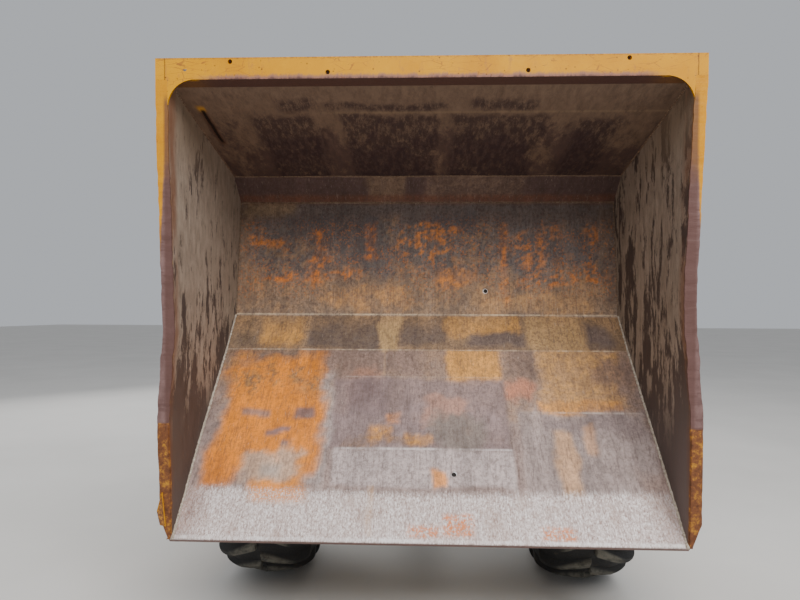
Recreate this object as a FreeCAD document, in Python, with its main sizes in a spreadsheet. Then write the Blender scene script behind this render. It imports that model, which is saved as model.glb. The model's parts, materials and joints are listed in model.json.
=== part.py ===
import FreeCAD, Part
import math
import os
import re

import Sketcher

# Site dumper, articulated in the middle, with its skip tipped forward.
# Millimetres. +Z up, -Y is the front, +X the machine's left. The origin is on the ground,
# under the middle of the box around the whole machine.

Vector = FreeCAD.Vector
Rotation = FreeCAD.Rotation
X_AXIS = Vector(1, 0, 0)
Y_AXIS = Vector(0, 1, 0)
Z_AXIS = Vector(0, 0, 1)

document = FreeCAD.newDocument("site_dumper")
sizes = document.addObject("Spreadsheet::Sheet", "sizes")
places = document.addObject("Spreadsheet::Sheet", "places")

# Driving dimensions: name, value
SIZES = (
    # whole machine
    ("front_axle_y", -1182),
    ("axle_z", 585),
    ("wheelbase", 2600),
    ("pivot_back", 1300),
    ("track", 1820),
    ("pin_play", 0.05),
    ("seat_gap", 0.3),
    # wheels and tyres
    ("tyre_radius", 585),
    ("tyre_half", 260),
    ("tyre_wall", 26),
    ("lug_deep", 30),
    ("lug_wide", 46),
    ("lug_draft", 6),
    ("lug_sweep", 150),
    ("lug_count", 18),
    ("lug_start", 8),
    ("crown_in", 110),
    ("crown_drop", 20),
    ("shoulder_in", 8),
    ("shoulder_drop", 106),
    ("bulge_drop", 150),
    ("rim_radius", 286),
    ("rim_half", 203),
    ("rim_flange", 26),
    ("rim_lip", 14),
    ("rim_wall", 10),
    ("disc_inset", 20),
    ("disc_thick", 16),
    ("hub_radius", 158),
    ("hub_reach", 165),
    ("spigot_radius", 118),
    ("spigot_reach", 58),
    # axles
    ("axle_tube", 92),
    ("diff_radius", 180),
    ("hub_case", 170),
    ("nose_radius", 80),
    ("nose_reach", 270),
    ("shaft_radius", 34),
    # skip, measured level as in travel, from its pivot
    ("skip_pivot_ahead", 100),
    ("skip_pivot_z", 1000),
    ("tip_angle", 83.2),
    ("lip_ahead", 569),
    ("lip_above", 884),
    ("front_run", 1121),
    ("front_slope", 36.5),
    ("band_run", 264),
    ("band_slope", 33.8),
    ("floor_run", 708),
    ("heel_run", 198),
    ("heel_slope", 53.8),
    ("back_run", 990),
    ("back_slope", 84.3),
    ("skip_half", 1162),
    ("skip_plate", 8),
    ("side_plate", 6),
    ("flange_wide", 54),
    ("flange_thick", 8),
    ("flange_drop", 46),
    ("rail_wide", 96),
    ("rail_deep", 60),
    ("corner_radius", 122),
    ("corner_thick", 10),
    ("rail_hole", 10),
    ("outer_hole_x", 878),
    ("outer_hole_in", 18),
    ("inner_hole_x", 441),
    ("inner_hole_in", 68),
    ("lip_bar_wide", 90),
    ("lip_bar_thick", 20),
    ("worn_run", 520),
    ("worn_thick", 4),
    ("corner_cut", 110),
    ("drain_hole", 12),
    ("floor_hole_x", 368),
    ("floor_hole_run", 145),
    ("front_hole_x", 140),
    ("front_hole_run", 339),
    # skip underframe
    ("web_inner", 247),
    ("web_thick", 20),
    ("web_deep", 80),
    ("web_start", 330),
    ("ear_radius", 66),
    ("pivot_pin", 35),
    ("pivot_pin_end", 290),
    # front chassis
    ("rail_outer", 235),
    ("rail_plate", 20),
    ("chassis_low", 440),
    ("chassis_high", 860),
    ("front_rail_high", 800),
    ("nose_ahead", 230),
    # tip rams
    ("ram_x", 330),
    ("ram_foot_back", 200),
    ("ram_foot_drop", 240),
    ("ram_head_back", 800),
    ("ram_head_drop", 0),
    ("ram_pin", 25),
    ("ram_eye", 42),
    ("ram_eye_half", 37),
    ("ram_barrel", 36),
    ("ram_bore", 27),
    ("ram_rod", 22),
    ("ram_barrel_long", 560),
    ("ram_rod_long", 540),
    ("lug_plate", 14),
    ("lug_clear", 6),
    # centre pivot and steering ram
    ("pivot_z", 640),
    ("centre_pin", 35),
    ("boss_radius", 72),
    ("boss_half", 160),
    ("trunnion_radius", 95),
    ("fork_plate", 30),
    ("fork_clear", 6),
    ("steer_x", 290),
    ("steer_reach", 340),
    ("steer_pin", 18),
    ("steer_eye", 40),
    ("steer_eye_half", 32),
    ("steer_barrel_radius", 31),
    ("steer_bore", 23),
    ("steer_rod_radius", 18),
    ("steer_barrel_long", 460),
    ("steer_rod_long", 450),
    # rear frame, measured back from the centre pivot
    ("rear_rail_front", 180),
    ("rear_rail_end", 2080),
    ("ballast_thick", 120),
    ("ballast_half", 640),
    ("deck_front", 400),
    ("deck_front_half", 450),
    ("tyre_gap", 15),
    ("deck_thick", 8),
    ("deck_back", 1000),
    ("guard_high", 330),
    ("guard_thick", 5),
    ("mudguard_radius", 650),
    ("mudguard_thick", 5),
    ("guard_seat", 3),
    ("guard_cover", 5),
    ("tank_front", 420),
    ("tank_long", 520),
    ("tank_low", 490),
    ("tank_half_gap", 0.3),
    ("step_wide", 150),
    # operator's place
    ("console_front", 450),
    ("console_deep", 150),
    ("console_half", 190),
    ("console_high", 540),
    ("console_face", 100),
    ("column_radius", 22),
    ("column_tilt", 43),
    ("column_long", 250),
    ("wheel_rim_radius", 190),
    ("wheel_rim_thick", 14),
    ("wheel_hub", 40),
    ("spindle_radius", 10),
    ("seat_front", 880),
    ("seat_long", 470),
    ("seat_half", 240),
    ("seat_base_high", 250),
    ("cushion_thick", 110),
    ("backrest_thick", 100),
    ("backrest_high", 480),
    ("lever_x", -330),
    # roll hoop
    ("hoop_back", 1400),
    ("hoop_inset", 95),
    ("hoop_wide", 70),
    ("hoop_deep", 70),
    ("hoop_hinge_z", 1800),
    ("hoop_top", 2950),
    ("hoop_bend", 170),
    ("hoop_ear", 12),
    ("hoop_pin", 16),
    ("beacon_radius", 65),
    ("beacon_high", 150),
    # engine and bonnet
    ("bonnet_front", 1500),
    ("bonnet_long", 600),
    ("bonnet_half", 470),
    ("bonnet_high", 620),
    ("bonnet_wall", 5),
    ("bonnet_round", 90),
    ("bonnet_lift", 6),
    ("hinge_x", 300),
    ("hinge_half", 40),
    ("hinge_back", 13),
    ("hinge_up", 15),
    ("hinge_eye", 9),
    ("hinge_pin", 5),
    ("grille_half", 330),
    ("grille_high", 380),
    ("grille_bars", 9),
    ("bar_thick", 12),
    ("engine_half", 200),
    ("exhaust_inset", 83),
    ("exhaust_radius", 36),
    ("silencer_radius", 74),
    ("lamp_radius", 48),
    ("lamp_bezel", 6),
    ("lamp_deep", 60),
    ("rail_tube", 17),
    ("hitch_pin", 16),
    ("hitch_gap", 80),
)

# Places that follow from the driving dimensions: name, formula
PLACES = (
    ("centre_y", "front_axle_y + pivot_back"),
    ("rear_axle_y", "front_axle_y + wheelbase"),
    ("skip_pivot_y", "front_axle_y - skip_pivot_ahead"),
    # corners of the skip's inside, level, from its pivot
    ("lip_y", "-lip_ahead"),
    ("lip_z", "lip_above"),
    ("bend_a_y", "lip_y + front_run * cos(front_slope)"),
    ("bend_a_z", "lip_z - front_run * sin(front_slope)"),
    ("bend_b_y", "bend_a_y + band_run * cos(band_slope)"),
    ("bend_b_z", "bend_a_z - band_run * sin(band_slope)"),
    ("bend_c_y", "bend_b_y + floor_run"),
    ("bend_c_z", "bend_b_z"),
    ("bend_d_y", "bend_c_y + heel_run * cos(heel_slope)"),
    ("bend_d_z", "bend_c_z + heel_run * sin(heel_slope)"),
    ("rim_y", "bend_d_y + back_run * cos(back_slope)"),
    ("rim_z", "bend_d_z + back_run * sin(back_slope)"),
    ("mouth_slope", "atan((rim_z - lip_z) / (rim_y - lip_y)) / 1deg"),
    ("mouth_run", "sqrt((rim_y - lip_y)^2 + (rim_z - lip_z)^2)"),
    ("skip_outer", "skip_half + side_plate"),
    ("rim_at_y", "skip_pivot_y + rim_y * cos(tip_angle) - rim_z * sin(tip_angle)"),
    ("rim_at_z", "skip_pivot_z + rim_y * sin(tip_angle) + rim_z * cos(tip_angle)"),
    # lug circle of the tread
    ("tread_radius", "tyre_radius - lug_deep"),
    ("rail_inner", "rail_outer - rail_plate"),
    ("web_outer", "web_inner + web_thick"),
    ("web_low", "bend_b_z - skip_plate - web_deep"),
    ("head_y", "skip_pivot_y + ram_head_back * cos(tip_angle) + ram_head_drop * sin(tip_angle)"),
    ("head_z", "skip_pivot_z + ram_head_back * sin(tip_angle) - ram_head_drop * cos(tip_angle)"),
    ("foot_y", "skip_pivot_y + ram_foot_back"),
    ("foot_z", "skip_pivot_z - ram_foot_drop"),
    ("fork_z", "boss_half + fork_clear"),
    ("deck_top", "chassis_high + deck_thick"),
    ("deck_half", "track / 2 - tyre_half - tyre_gap"),
    ("mudguard_inner", "deck_half + guard_seat"),
    ("mudguard_outer", "track / 2 + tyre_half + guard_cover"),
    ("deck_inner", "mudguard_inner + mudguard_thick"),
    ("exhaust_x", "deck_half - exhaust_inset"),
    ("hoop_half", "deck_half - hoop_inset"),
    ("bonnet_low", "chassis_high + deck_thick + bonnet_lift"),
    ("bonnet_back", "bonnet_front + bonnet_long"),
)


def fill(sheet, table, wrap):
    """Writes a table of names and values or formulas into a sheet."""
    for row, (name, entry) in enumerate(table, start=1):
        sheet.set(f"A{row}", name)
        sheet.set(f"B{row}", wrap(entry))
        sheet.setAlias(f"B{row}", name)


SIZE_NAMES = {name for name, _ in SIZES}
PLACE_NAMES = {name for name, _ in PLACES}
WORD = re.compile(r"[a-z][a-z_]*")


def formula(text, inside_places=False):
    """Adds the sheet's name to each size or place named in a formula."""
    def with_sheet(match):
        word = match.group(0)
        if word in SIZE_NAMES:
            return f"sizes.{word}"
        if word in PLACE_NAMES and not inside_places:
            return f"places.{word}"
        return word
    return WORD.sub(with_sheet, str(text))


fill(sizes, SIZES, str)
fill(places, PLACES, lambda text: "=" + formula(text, inside_places=True))
document.recompute()


def value(text):
    """The number that a formula gives."""
    number = sizes.evalExpression(formula(text))
    return float(getattr(number, "Value", number))


# PARTS: node name to document object, in the order they are written
PARTS = {}


def body(name):
    """A new sub-part made of features."""
    piece = document.addObject("PartDesign::Body", name)
    piece.Label = name
    PARTS[name] = piece
    return piece


def place(piece, x="0", y="0", z="0", axis=X_AXIS, angle="0"):
    """Puts a sub-part at a point, turned about an axis."""
    piece.Placement = FreeCAD.Placement(Vector(value(x), value(y), value(z)), Rotation(axis, value(angle)))
    for side, text in (("x", x), ("y", y), ("z", z)):
        piece.setExpression(f"Placement.Base.{side}", formula(text))
    return piece


def sketch(piece, plane, offset, loops):
    """A sketch on one of the piece's own planes. A loop is a list of corners or one circle
    (across, up, radius); every corner is held by its two distances from the origin."""
    drawing = piece.newObject("Sketcher::SketchObject", f"{piece.Name}_sketch")
    support = next(f for f in piece.Origin.OriginFeatures if f.Role == f"{plane}_Plane")
    drawing.AttachmentSupport = [(support, "")]
    drawing.MapMode = "FlatFace"
    drawing.setExpression("AttachmentOffset.Base.z", formula(offset))

    def hold(kind, *where, text):
        number = drawing.addConstraint(Sketcher.Constraint(kind, *where, value(text)))
        drawing.setExpression(f"Constraints[{number}]", formula(text))

    for loop in loops:
        if isinstance(loop, tuple):
            across, up, radius = loop
            centre = Vector(value(across), value(up), 0)
            circle = drawing.addGeometry(Part.Circle(centre, Z_AXIS, value(radius)), False)
            hold("DistanceX", -1, 1, circle, 3, text=across)
            hold("DistanceY", -1, 1, circle, 3, text=up)
            hold("Radius", circle, text=radius)
            continue
        corners = [Vector(value(across), value(up), 0) for across, up in loop]
        lines = []
        for start, end in zip(corners, corners[1:] + corners[:1]):
            lines.append(drawing.addGeometry(Part.LineSegment(start, end), False))
        for line, following in zip(lines, lines[1:] + lines[:1]):
            drawing.addConstraint(Sketcher.Constraint("Coincident", line, 2, following, 1))
        for line, (across, up) in zip(lines, loop):
            hold("DistanceX", -1, 1, line, 1, text=across)
            hold("DistanceY", -1, 1, line, 1, text=up)
    return drawing


def pad(piece, plane, low, high, *loops):
    """Material between two stations along the plane's normal: X for YZ, Y for XZ, Z for XY."""
    start = f"-({high})" if plane == "XZ" else low
    feature = piece.newObject("PartDesign::Pad", f"{piece.Name}_pad")
    feature.Profile = sketch(piece, plane, start, loops)
    feature.setExpression("Length", formula(f"({high}) - ({low})"))
    feature.Profile[0].Visibility = False
    piece.Tip = feature
    return feature


def pocket(piece, plane, low, high, *loops):
    """A cut between two stations along the plane's normal."""
    start = f"-({low})" if plane == "XZ" else high
    feature = piece.newObject("PartDesign::Pocket", f"{piece.Name}_pocket")
    feature.Profile = sketch(piece, plane, start, loops)
    feature.setExpression("Length", formula(f"({high}) - ({low})"))
    piece.Tip = feature
    return feature


def turned(piece, plane, axis, loop, cut=False):
    """A revolved feature about one of the piece's own axes."""
    kind = "PartDesign::Groove" if cut else "PartDesign::Revolution"
    feature = piece.newObject(kind, f"{piece.Name}_turned")
    feature.Profile = sketch(piece, plane, "0", [loop])
    line = next(f for f in piece.Origin.OriginFeatures if f.Role == f"{axis}_Axis")
    feature.ReferenceAxis = (line, [""])
    feature.Angle = 360
    piece.Tip = feature
    return feature


def rounded(piece, radius, chosen):
    """Rounds the edges of the last feature for which chosen(edge) is true."""
    document.recompute()
    base = piece.Tip
    names = [f"Edge{number}" for number, edge in enumerate(base.Shape.Edges, start=1) if chosen(edge)]
    feature = piece.newObject("PartDesign::Fillet", f"{piece.Name}_round")
    feature.Base = (base, names)
    feature.setExpression("Radius", formula(radius))
    piece.Tip = feature
    return feature


def box(x_low, x_high, y_low, y_high):
    """The four corners of a rectangle."""
    return [(x_low, y_low), (x_high, y_low), (x_high, y_high), (x_low, y_high)]


def along(edge, axis):
    """True for a straight edge that runs along an axis."""
    if not isinstance(edge.Curve, Part.Line):
        return False
    return abs(abs(edge.tangentAt(edge.FirstParameter).dot(axis)) - 1) < 1e-6


def shape_part(name, shape):
    """A sub-part whose shape is worked out with solid functions."""
    piece = document.addObject("Part::Feature", name)
    piece.Label = name
    piece.Shape = shape
    PARTS[name] = piece
    return piece


BOTH = (1, -1)
SIDE_NAME = {1: "left", -1: "right"}


def stations(side, near, far):
    """Low and high X stations for a piece between near and far from the middle, on one side."""
    return (near, far) if side > 0 else (f"-({far})", f"-({near})")


# Wheels: a pressed disc in a drop-centre rim with the hub's cap, and a lugged tyre


def wheel_places():
    for end, y in (("front", "front_axle_y"), ("rear", "rear_axle_y")):
        for side in BOTH:
            yield f"{end}_{SIDE_NAME[side]}", side, y


def make_rim(name):
    """Wheel about its own X axis, outer side towards +X."""
    well = "rim_radius - 24"
    ledge = "rim_radius - 6"
    lip = "rim_radius + rim_flange"
    edge = "rim_half - rim_lip"
    outline = [
        ("hub_reach", "0"),
        ("hub_reach", "hub_radius - 40"),
        ("hub_reach - 15", "hub_radius - 12"),
        ("disc_inset + disc_thick", "hub_radius"),
        ("disc_inset + disc_thick", f"{well} - rim_wall"),
        ("66", f"{well} - rim_wall"),
        ("84", f"{ledge} - rim_wall"),
        ("rim_half - 20", "rim_radius - rim_wall"),
        ("rim_half", f"{lip} - 12"),
        ("rim_half", lip),
        (edge, lip),
        (edge, "rim_radius"),
        ("80", ledge),
        ("60", well),
        ("-100", well),
        ("-120", ledge),
        (f"-({edge})", "rim_radius"),
        (f"-({edge})", lip),
        ("-rim_half", lip),
        ("-rim_half", f"{lip} - 12"),
        ("20 - rim_half", "rim_radius - rim_wall"),
        ("-126", f"{ledge} - rim_wall"),
        ("-104", f"{well} - rim_wall"),
        ("disc_inset", f"{well} - rim_wall"),
        ("disc_inset", "spigot_radius + pin_play"),
        ("spigot_reach + 2", "spigot_radius + pin_play"),
        ("spigot_reach + 2", "0"),
    ]
    piece = body(name)
    turned(piece, "XY", "X", outline)
    return piece


def zipped(first, second):
    """Triangles that close the band between two rings of (angle, point) in the order of their angles."""
    triangles = []
    one = first + [(first[0][0] + 360, first[0][1])]
    two = second + [(second[0][0] + 360, second[0][1])]
    a, b = 0, 0
    while a < len(first) or b < len(second):
        if b == len(second) or (a < len(first) and one[a + 1][0] <= two[b + 1][0]):
            triangles.append((one[a][1], one[a + 1][1], two[b][1]))
            a += 1
        else:
            triangles.append((one[a][1], two[b + 1][1], two[b][1]))
            b += 1
    return triangles


def tyre_shape(hand):
    """Carcass with two staggered rows of slanting lugs about the X axis. hand is 1 or -1 and turns
    the slant. Each row runs out over three stations, and the carcass closes on the rim's seats."""
    count = int(value("lug_count"))
    pitch = 360 / count
    slant = math.degrees(value("lug_sweep / tread_radius")) / value("tyre_half")
    wide = value("lug_wide / 2")
    foot = value("lug_wide / 2 + lug_draft")
    # station: where the lug's foot and its top lie across the tyre, and their radii
    stations = (
        (value("lug_start"), value("lug_start"), value("tread_radius"), value("tyre_radius")),
        (value("tyre_half - crown_in"), value("tyre_half - crown_in"),
         value("tread_radius - crown_drop"), value("tyre_radius - crown_drop + 2")),
        (value("tyre_half - shoulder_in"), value("tyre_half - shoulder_in - lug_draft * 2"),
         value("tread_radius - shoulder_drop"), value("tyre_radius - shoulder_drop + 20")),
    )

    def point(across, radius, angle):
        turn = math.radians(angle)
        return Vector(across, hand * radius * math.sin(turn), -radius * math.cos(turn))

    def middle(row, across):
        stagger = 0 if row > 0 else pitch / 2
        return stagger + slant * (across - value("lug_start"))

    def lug_ring(row, across, radius, centre, reach):
        """Both edges of every lug at one station. The flats between them touch the radius."""
        ring = []
        for step in range(count):
            for edge in (-reach, reach):
                angle = centre + step * pitch + math.degrees(edge / radius)
                ring.append((angle, point(row * across, radius / math.cos(reach / radius), angle)))
        return ring

    def plain_ring(row, across, radius, centre):
        corner = radius / math.cos(math.pi / count)
        angles = [centre + step * pitch for step in range(count)]
        return [(angle, point(row * across, corner, angle)) for angle in angles]

    triangles = []

    def quad(a, b, c, d):
        triangles.extend([(a[1], b[1], c[1]), (a[1], c[1], d[1])])

    row_starts = []
    hollows = []
    for row in BOTH:
        feet = [lug_ring(row, at, root, middle(row, at), foot) for at, _, root, _ in stations]
        tops = [lug_ring(row, at, top, middle(row, at), wide) for _, at, _, top in stations]
        for low in range(0, 2 * count, 2):
            high = low + 1
            following = (low + 2) % (2 * count)
            for near, far in ((0, 1), (1, 2)):
                quad(tops[near][low], tops[near][high], tops[far][high], tops[far][low])
                quad(feet[near][low], tops[near][low], tops[far][low], feet[far][low])
                quad(tops[near][high], feet[near][high], feet[far][high], tops[far][high])
                quad(feet[near][high], feet[near][following], feet[far][following], feet[far][high])
            for end in (0, 2):
                quad(feet[end][low], feet[end][high], tops[end][high], tops[end][low])
        row_starts.append(feet[0])

        edge = feet[2]
        centre = middle(row, stations[2][0])
        seat = value("rim_half - rim_lip - seat_gap")
        bead = value("rim_radius + seat_gap")
        widest_gap = math.radians(pitch / 2) - foot / stations[2][2]
        flange = value("rim_radius + rim_flange + seat_gap") / math.cos(widest_gap)
        bulge = value("tread_radius - bulge_drop")
        wall = value("tyre_wall")
        rings = [
            edge,
            [(angle, point(row * value("tyre_half"), bulge, angle)) for angle, _ in edge],
            [(angle, point(row * seat, flange, angle)) for angle, _ in edge],
            plain_ring(row, seat, bead, centre),
            plain_ring(row, seat - wall, bead, centre),
            plain_ring(row, value("tyre_half") - wall - 10, bulge, centre),
            plain_ring(row, value("tyre_half - crown_in") - wall, value("tread_radius") - 1.5 * wall, centre),
        ]
        for one, two in zip(rings, rings[1:]):
            triangles += zipped(one, two)
        hollows.append(rings[-1])
    triangles += zipped(*row_starts) + zipped(*hollows)
    shell = Part.Shell([Part.Face(Part.makePolygon([a, b, c, a])) for a, b, c in triangles])
    shell.sewShape()
    solid = Part.Solid(shell)
    if solid.Volume < 0:
        solid = solid.reversed()
    return solid.removeSplitter()


def make_wheels():
    tyres = {hand: tyre_shape(hand) for hand in BOTH}
    for name, side, y in wheel_places():
        x = f"{side} * track / 2"
        turn = "0" if side > 0 else "180"
        place(make_rim(f"rim_{name}"), x, y, "axle_z", Z_AXIS, turn)
        place(shape_part(f"tyre_{name}", tyres[side]), x, y, "axle_z", Z_AXIS, turn)


# Axles: tube, differential case with its pinion nose, hub cases and wheel spigots


def make_axle(name, y, nose):
    """nose is 1 where the pinion points back and -1 where it points forward."""
    hub_face = "track / 2 + disc_inset - seat_gap"
    half = [
        ("130", "diff_radius"),
        ("rail_inner - 12", "axle_tube"),
        ("track / 2 - tyre_half - 60", "axle_tube"),
        ("track / 2 - tyre_half - 40", "hub_case"),
        (hub_face, "hub_case"),
        (hub_face, "spigot_radius"),
        ("track / 2 + spigot_reach", "spigot_radius"),
        ("track / 2 + spigot_reach", "0"),
    ]
    mirrored = [(f"-({x})", r) for x, r in reversed(half)]
    piece = body(name)
    turned(piece, "XY", "X", half + mirrored)
    low, high = ("0", "nose_reach") if nose > 0 else ("-nose_reach", "0")
    pad(piece, "XZ", low, high, ("0", "0", "nose_radius"))
    return place(piece, "0", y, "axle_z")


# Skip, drawn level about its pivot and turned to its tipped place


def in_skip(piece):
    return place(piece, "0", "skip_pivot_y", "skip_pivot_z", X_AXIS, "tip_angle")


SLOPES = ("-front_slope", "-band_slope", "0", "heel_slope", "back_slope")
CORNERS = (
    ("lip_y", "lip_z"),
    ("bend_a_y", "bend_a_z"),
    ("bend_b_y", "bend_b_z"),
    ("bend_c_y", "bend_c_z"),
    ("bend_d_y", "bend_d_z"),
    ("rim_y", "rim_z"),
)


def under(number, deep, start=None):
    """Corner of the line that runs deep below the skip's folds, mitred between two slopes."""
    before = SLOPES[max(number - 1, 0)] if start is None else start
    after = SLOPES[min(number, len(SLOPES) - 1)]
    across, up = CORNERS[number]
    share = f"({deep}) / (1 + cos(({before}) - ({after})))"
    return (
        f"{across} + {share} * (sin({before}) + sin({after}))",
        f"{up} - {share} * (cos({before}) + cos({after}))",
    )


def from_corner(number, slope, run, deep="0"):
    """Point a run along a slope from a corner and deep below that line."""
    across, up = CORNERS[number]
    return (
        f"{across} + ({run}) * cos({slope}) + ({deep}) * sin({slope})",
        f"{up} + ({run}) * sin({slope}) - ({deep}) * cos({slope})",
    )


WALL_TOP = "back_run - rail_deep"


def rail_face(deep, gap="0"):
    """Point on the rear rail's inner face, deep below the mouth's plane."""
    return from_corner(5, "mouth_slope", f"-({gap}) - ({deep}) / tan(back_slope - mouth_slope)", deep)


def make_skip_sheets():
    floor = body("skip_floor_sheet")
    inner = [CORNERS[n] for n in range(5)]
    outer = [under(n, "skip_plate") for n in range(5)]
    pad(floor, "YZ", "-skip_half", "skip_half", inner + outer[::-1])
    pocket(floor, "XY", "bend_b_z - skip_plate - 20", "bend_b_z + 20",
           ("floor_hole_x", "bend_b_y + floor_hole_run", "drain_hole"))
    pocket(floor, "XY", "bend_b_z", "lip_z",
           ("front_hole_x", "lip_y + front_hole_run * cos(front_slope)", "drain_hole"))
    in_skip(floor)

    back = body("skip_rear_wall")
    outline = [
        CORNERS[4],
        from_corner(4, "back_slope", WALL_TOP),
        from_corner(4, "back_slope", WALL_TOP, "skip_plate"),
        under(4, "skip_plate"),
    ]
    pad(back, "YZ", "-skip_half", "skip_half", outline)
    for x in ("-900", "-320", "320", "900"):
        rib = [
            from_corner(4, "back_slope", "60", "skip_plate"),
            from_corner(4, "back_slope", WALL_TOP, "skip_plate"),
            from_corner(4, "back_slope", WALL_TOP, "skip_plate + 50"),
            from_corner(4, "back_slope", "110", "skip_plate + 50"),
        ]
        pad(back, "YZ", f"{x} - 35", f"{x} + 35", rib)
    in_skip(back)


def make_skip_sides():
    edge = [
        from_corner(0, "mouth_slope", "0", "flange_thick"),
        rail_face("flange_thick"),
    ]
    for side in BOTH:
        wall = body(f"skip_side_{SIDE_NAME[side]}")
        outline = [under(n, "skip_plate") for n in range(5)]
        outline += [from_corner(4, "back_slope", WALL_TOP, "skip_plate")]
        outline += [from_corner(4, "back_slope", WALL_TOP)]
        outline += edge[::-1]
        pad(wall, "YZ", *stations(side, "skip_half", "skip_outer"), outline)
        for run in ("620", "1180"):
            post = [
                from_corner(0, "mouth_slope", f"{run} - 30", "flange_thick + flange_drop"),
                from_corner(0, "mouth_slope", f"{run} + 30", "flange_thick + flange_drop"),
                from_corner(0, "mouth_slope", f"{run} + 30", f"{run} * 0.62"),
                from_corner(0, "mouth_slope", f"{run} - 30", f"{run} * 0.62"),
            ]
            pad(wall, "YZ", *stations(side, "skip_outer", "skip_outer + 30"), post)
        in_skip(wall)


def make_skip_rails():
    outer = "skip_half + flange_wide"
    rail = body("skip_rear_rail")
    lean = "(back_slope - mouth_slope)"
    pad(rail, "YZ", f"-({outer})", outer, [
        ("0", "0"),
        ("rail_wide", "0"),
        ("rail_wide", "-rail_deep"),
        (f"skip_plate * sin({lean}) - rail_deep * cos({lean})", f"-rail_deep * sin({lean}) - skip_plate * cos({lean})"),
        (f"-rail_deep * cos({lean})", f"-rail_deep * sin({lean})"),
    ])
    for side in BOTH:
        near, far = stations(side, "skip_half - corner_radius + 12", "skip_half")
        pad(rail, "XY", "-corner_thick", "0", box(near, far, "12 - corner_radius", "0"))
        centre = f"{side} * (skip_half - corner_radius)"
        pocket(rail, "XY", "-corner_thick - 1", "1", (centre, "-corner_radius", "corner_radius"))
        for x, y in (("outer_hole_x", "rail_wide - outer_hole_in"), ("inner_hole_x", "rail_wide - inner_hole_in")):
            pocket(rail, "XY", "-rail_deep - 20", "1", (f"{side} * {x}", y, "rail_hole"))
    place(rail, "0", "rim_at_y", "rim_at_z", X_AXIS, "tip_angle + mouth_slope")

    sides = body("skip_side_rails")
    angle = [
        from_corner(0, "mouth_slope", "0"),
        rail_face("0", "seat_gap"),
        rail_face("flange_thick", "seat_gap"),
        from_corner(0, "mouth_slope", "0", "flange_thick"),
    ]
    leg = [
        from_corner(0, "mouth_slope", "40", "flange_thick"),
        rail_face("flange_thick", "seat_gap"),
        rail_face("flange_thick + flange_drop", "seat_gap"),
        from_corner(0, "mouth_slope", "40 + flange_drop", "flange_thick + flange_drop"),
    ]
    doubler = [
        from_corner(0, "mouth_slope", "0"),
        from_corner(0, "mouth_slope", "worn_run"),
        from_corner(0, "mouth_slope", "worn_run - 6", "-worn_thick"),
        from_corner(0, "mouth_slope", "0", "-worn_thick"),
    ]
    for side in BOTH:
        pad(sides, "YZ", *stations(side, "skip_half", outer), angle)
        pad(sides, "YZ", *stations(side, f"{outer} - flange_thick", outer), leg)
        pad(sides, "YZ", *stations(side, "skip_half + 3", f"{outer} - 2"), doubler)
        corner = [
            (f"{side} * ({outer} + 1)", "lip_y - 20"),
            (f"{side} * ({outer} + 1)", "lip_y + corner_cut"),
            (f"{side} * (skip_half + side_plate + 1)", "lip_y - 20"),
        ]
        pocket(sides, "XY", "lip_z - 120", "lip_z + 40", corner)
    in_skip(sides)


def make_skip_lip():
    lip = body("skip_lip")
    outline = [
        from_corner(0, "-front_slope", "0", "skip_plate"),
        from_corner(0, "-front_slope", "lip_bar_wide", "skip_plate"),
        from_corner(0, "-front_slope", "lip_bar_wide - 12", "skip_plate + lip_bar_thick"),
        from_corner(0, "-front_slope", "0", "skip_plate + lip_bar_thick"),
    ]
    pad(lip, "YZ", "-skip_outer", "skip_outer", outline)
    in_skip(lip)


def make_skip_underframe():
    frame = body("skip_underframe")
    web = [
        from_corner(0, "-front_slope", "web_start", "skip_plate"),
        under(1, "skip_plate"),
        under(2, "skip_plate"),
        (under(3, "skip_plate")[0], under(3, "skip_plate")[1]),
        ("bend_c_y - 30", "web_low"),
        ("bend_b_y - 40", "web_low"),
        ("ear_radius", "-ear_radius * 0.5"),
        ("-ear_radius", "0"),
    ]
    for side in BOTH:
        span = stations(side, "web_inner", "web_outer")
        pad(frame, "YZ", *span, web)
        pad(frame, "YZ", *span, ("0", "0", "ear_radius"))
        for near, far in (
            ("ram_x - ram_eye_half - lug_clear - lug_plate", "ram_x - ram_eye_half - lug_clear"),
            ("ram_x + ram_eye_half + lug_clear", "ram_x + ram_eye_half + lug_clear + lug_plate"),
        ):
            lug = [
                ("ram_head_back - ram_eye", "-ram_head_drop"),
                ("ram_head_back - 90", "bend_b_z - skip_plate"),
                ("ram_head_back + 90", "bend_b_z - skip_plate"),
                ("ram_head_back + ram_eye", "-ram_head_drop"),
            ]
            pad(frame, "YZ", *stations(side, near, far), lug)
            pad(frame, "YZ", *stations(side, near, far), ("ram_head_back", "-ram_head_drop", "ram_eye"))
    for run in ("web_start + 40", "front_run - 120"):
        tie = [
            from_corner(0, "-front_slope", f"{run}", "skip_plate"),
            from_corner(0, "-front_slope", f"{run} + 80", "skip_plate"),
            from_corner(0, "-front_slope", f"{run} + 80", "skip_plate + 60"),
            from_corner(0, "-front_slope", f"{run}", "skip_plate + 60"),
        ]
        pad(frame, "YZ", "-web_inner", "web_inner", tie)
    pocket(frame, "YZ", "-web_outer - 1", "web_outer + 1", ("0", "0", "pivot_pin + pin_play"))
    in_skip(frame)


# Front chassis with the pivot posts, the centre pivot's knuckle and the skip's pin


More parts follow.
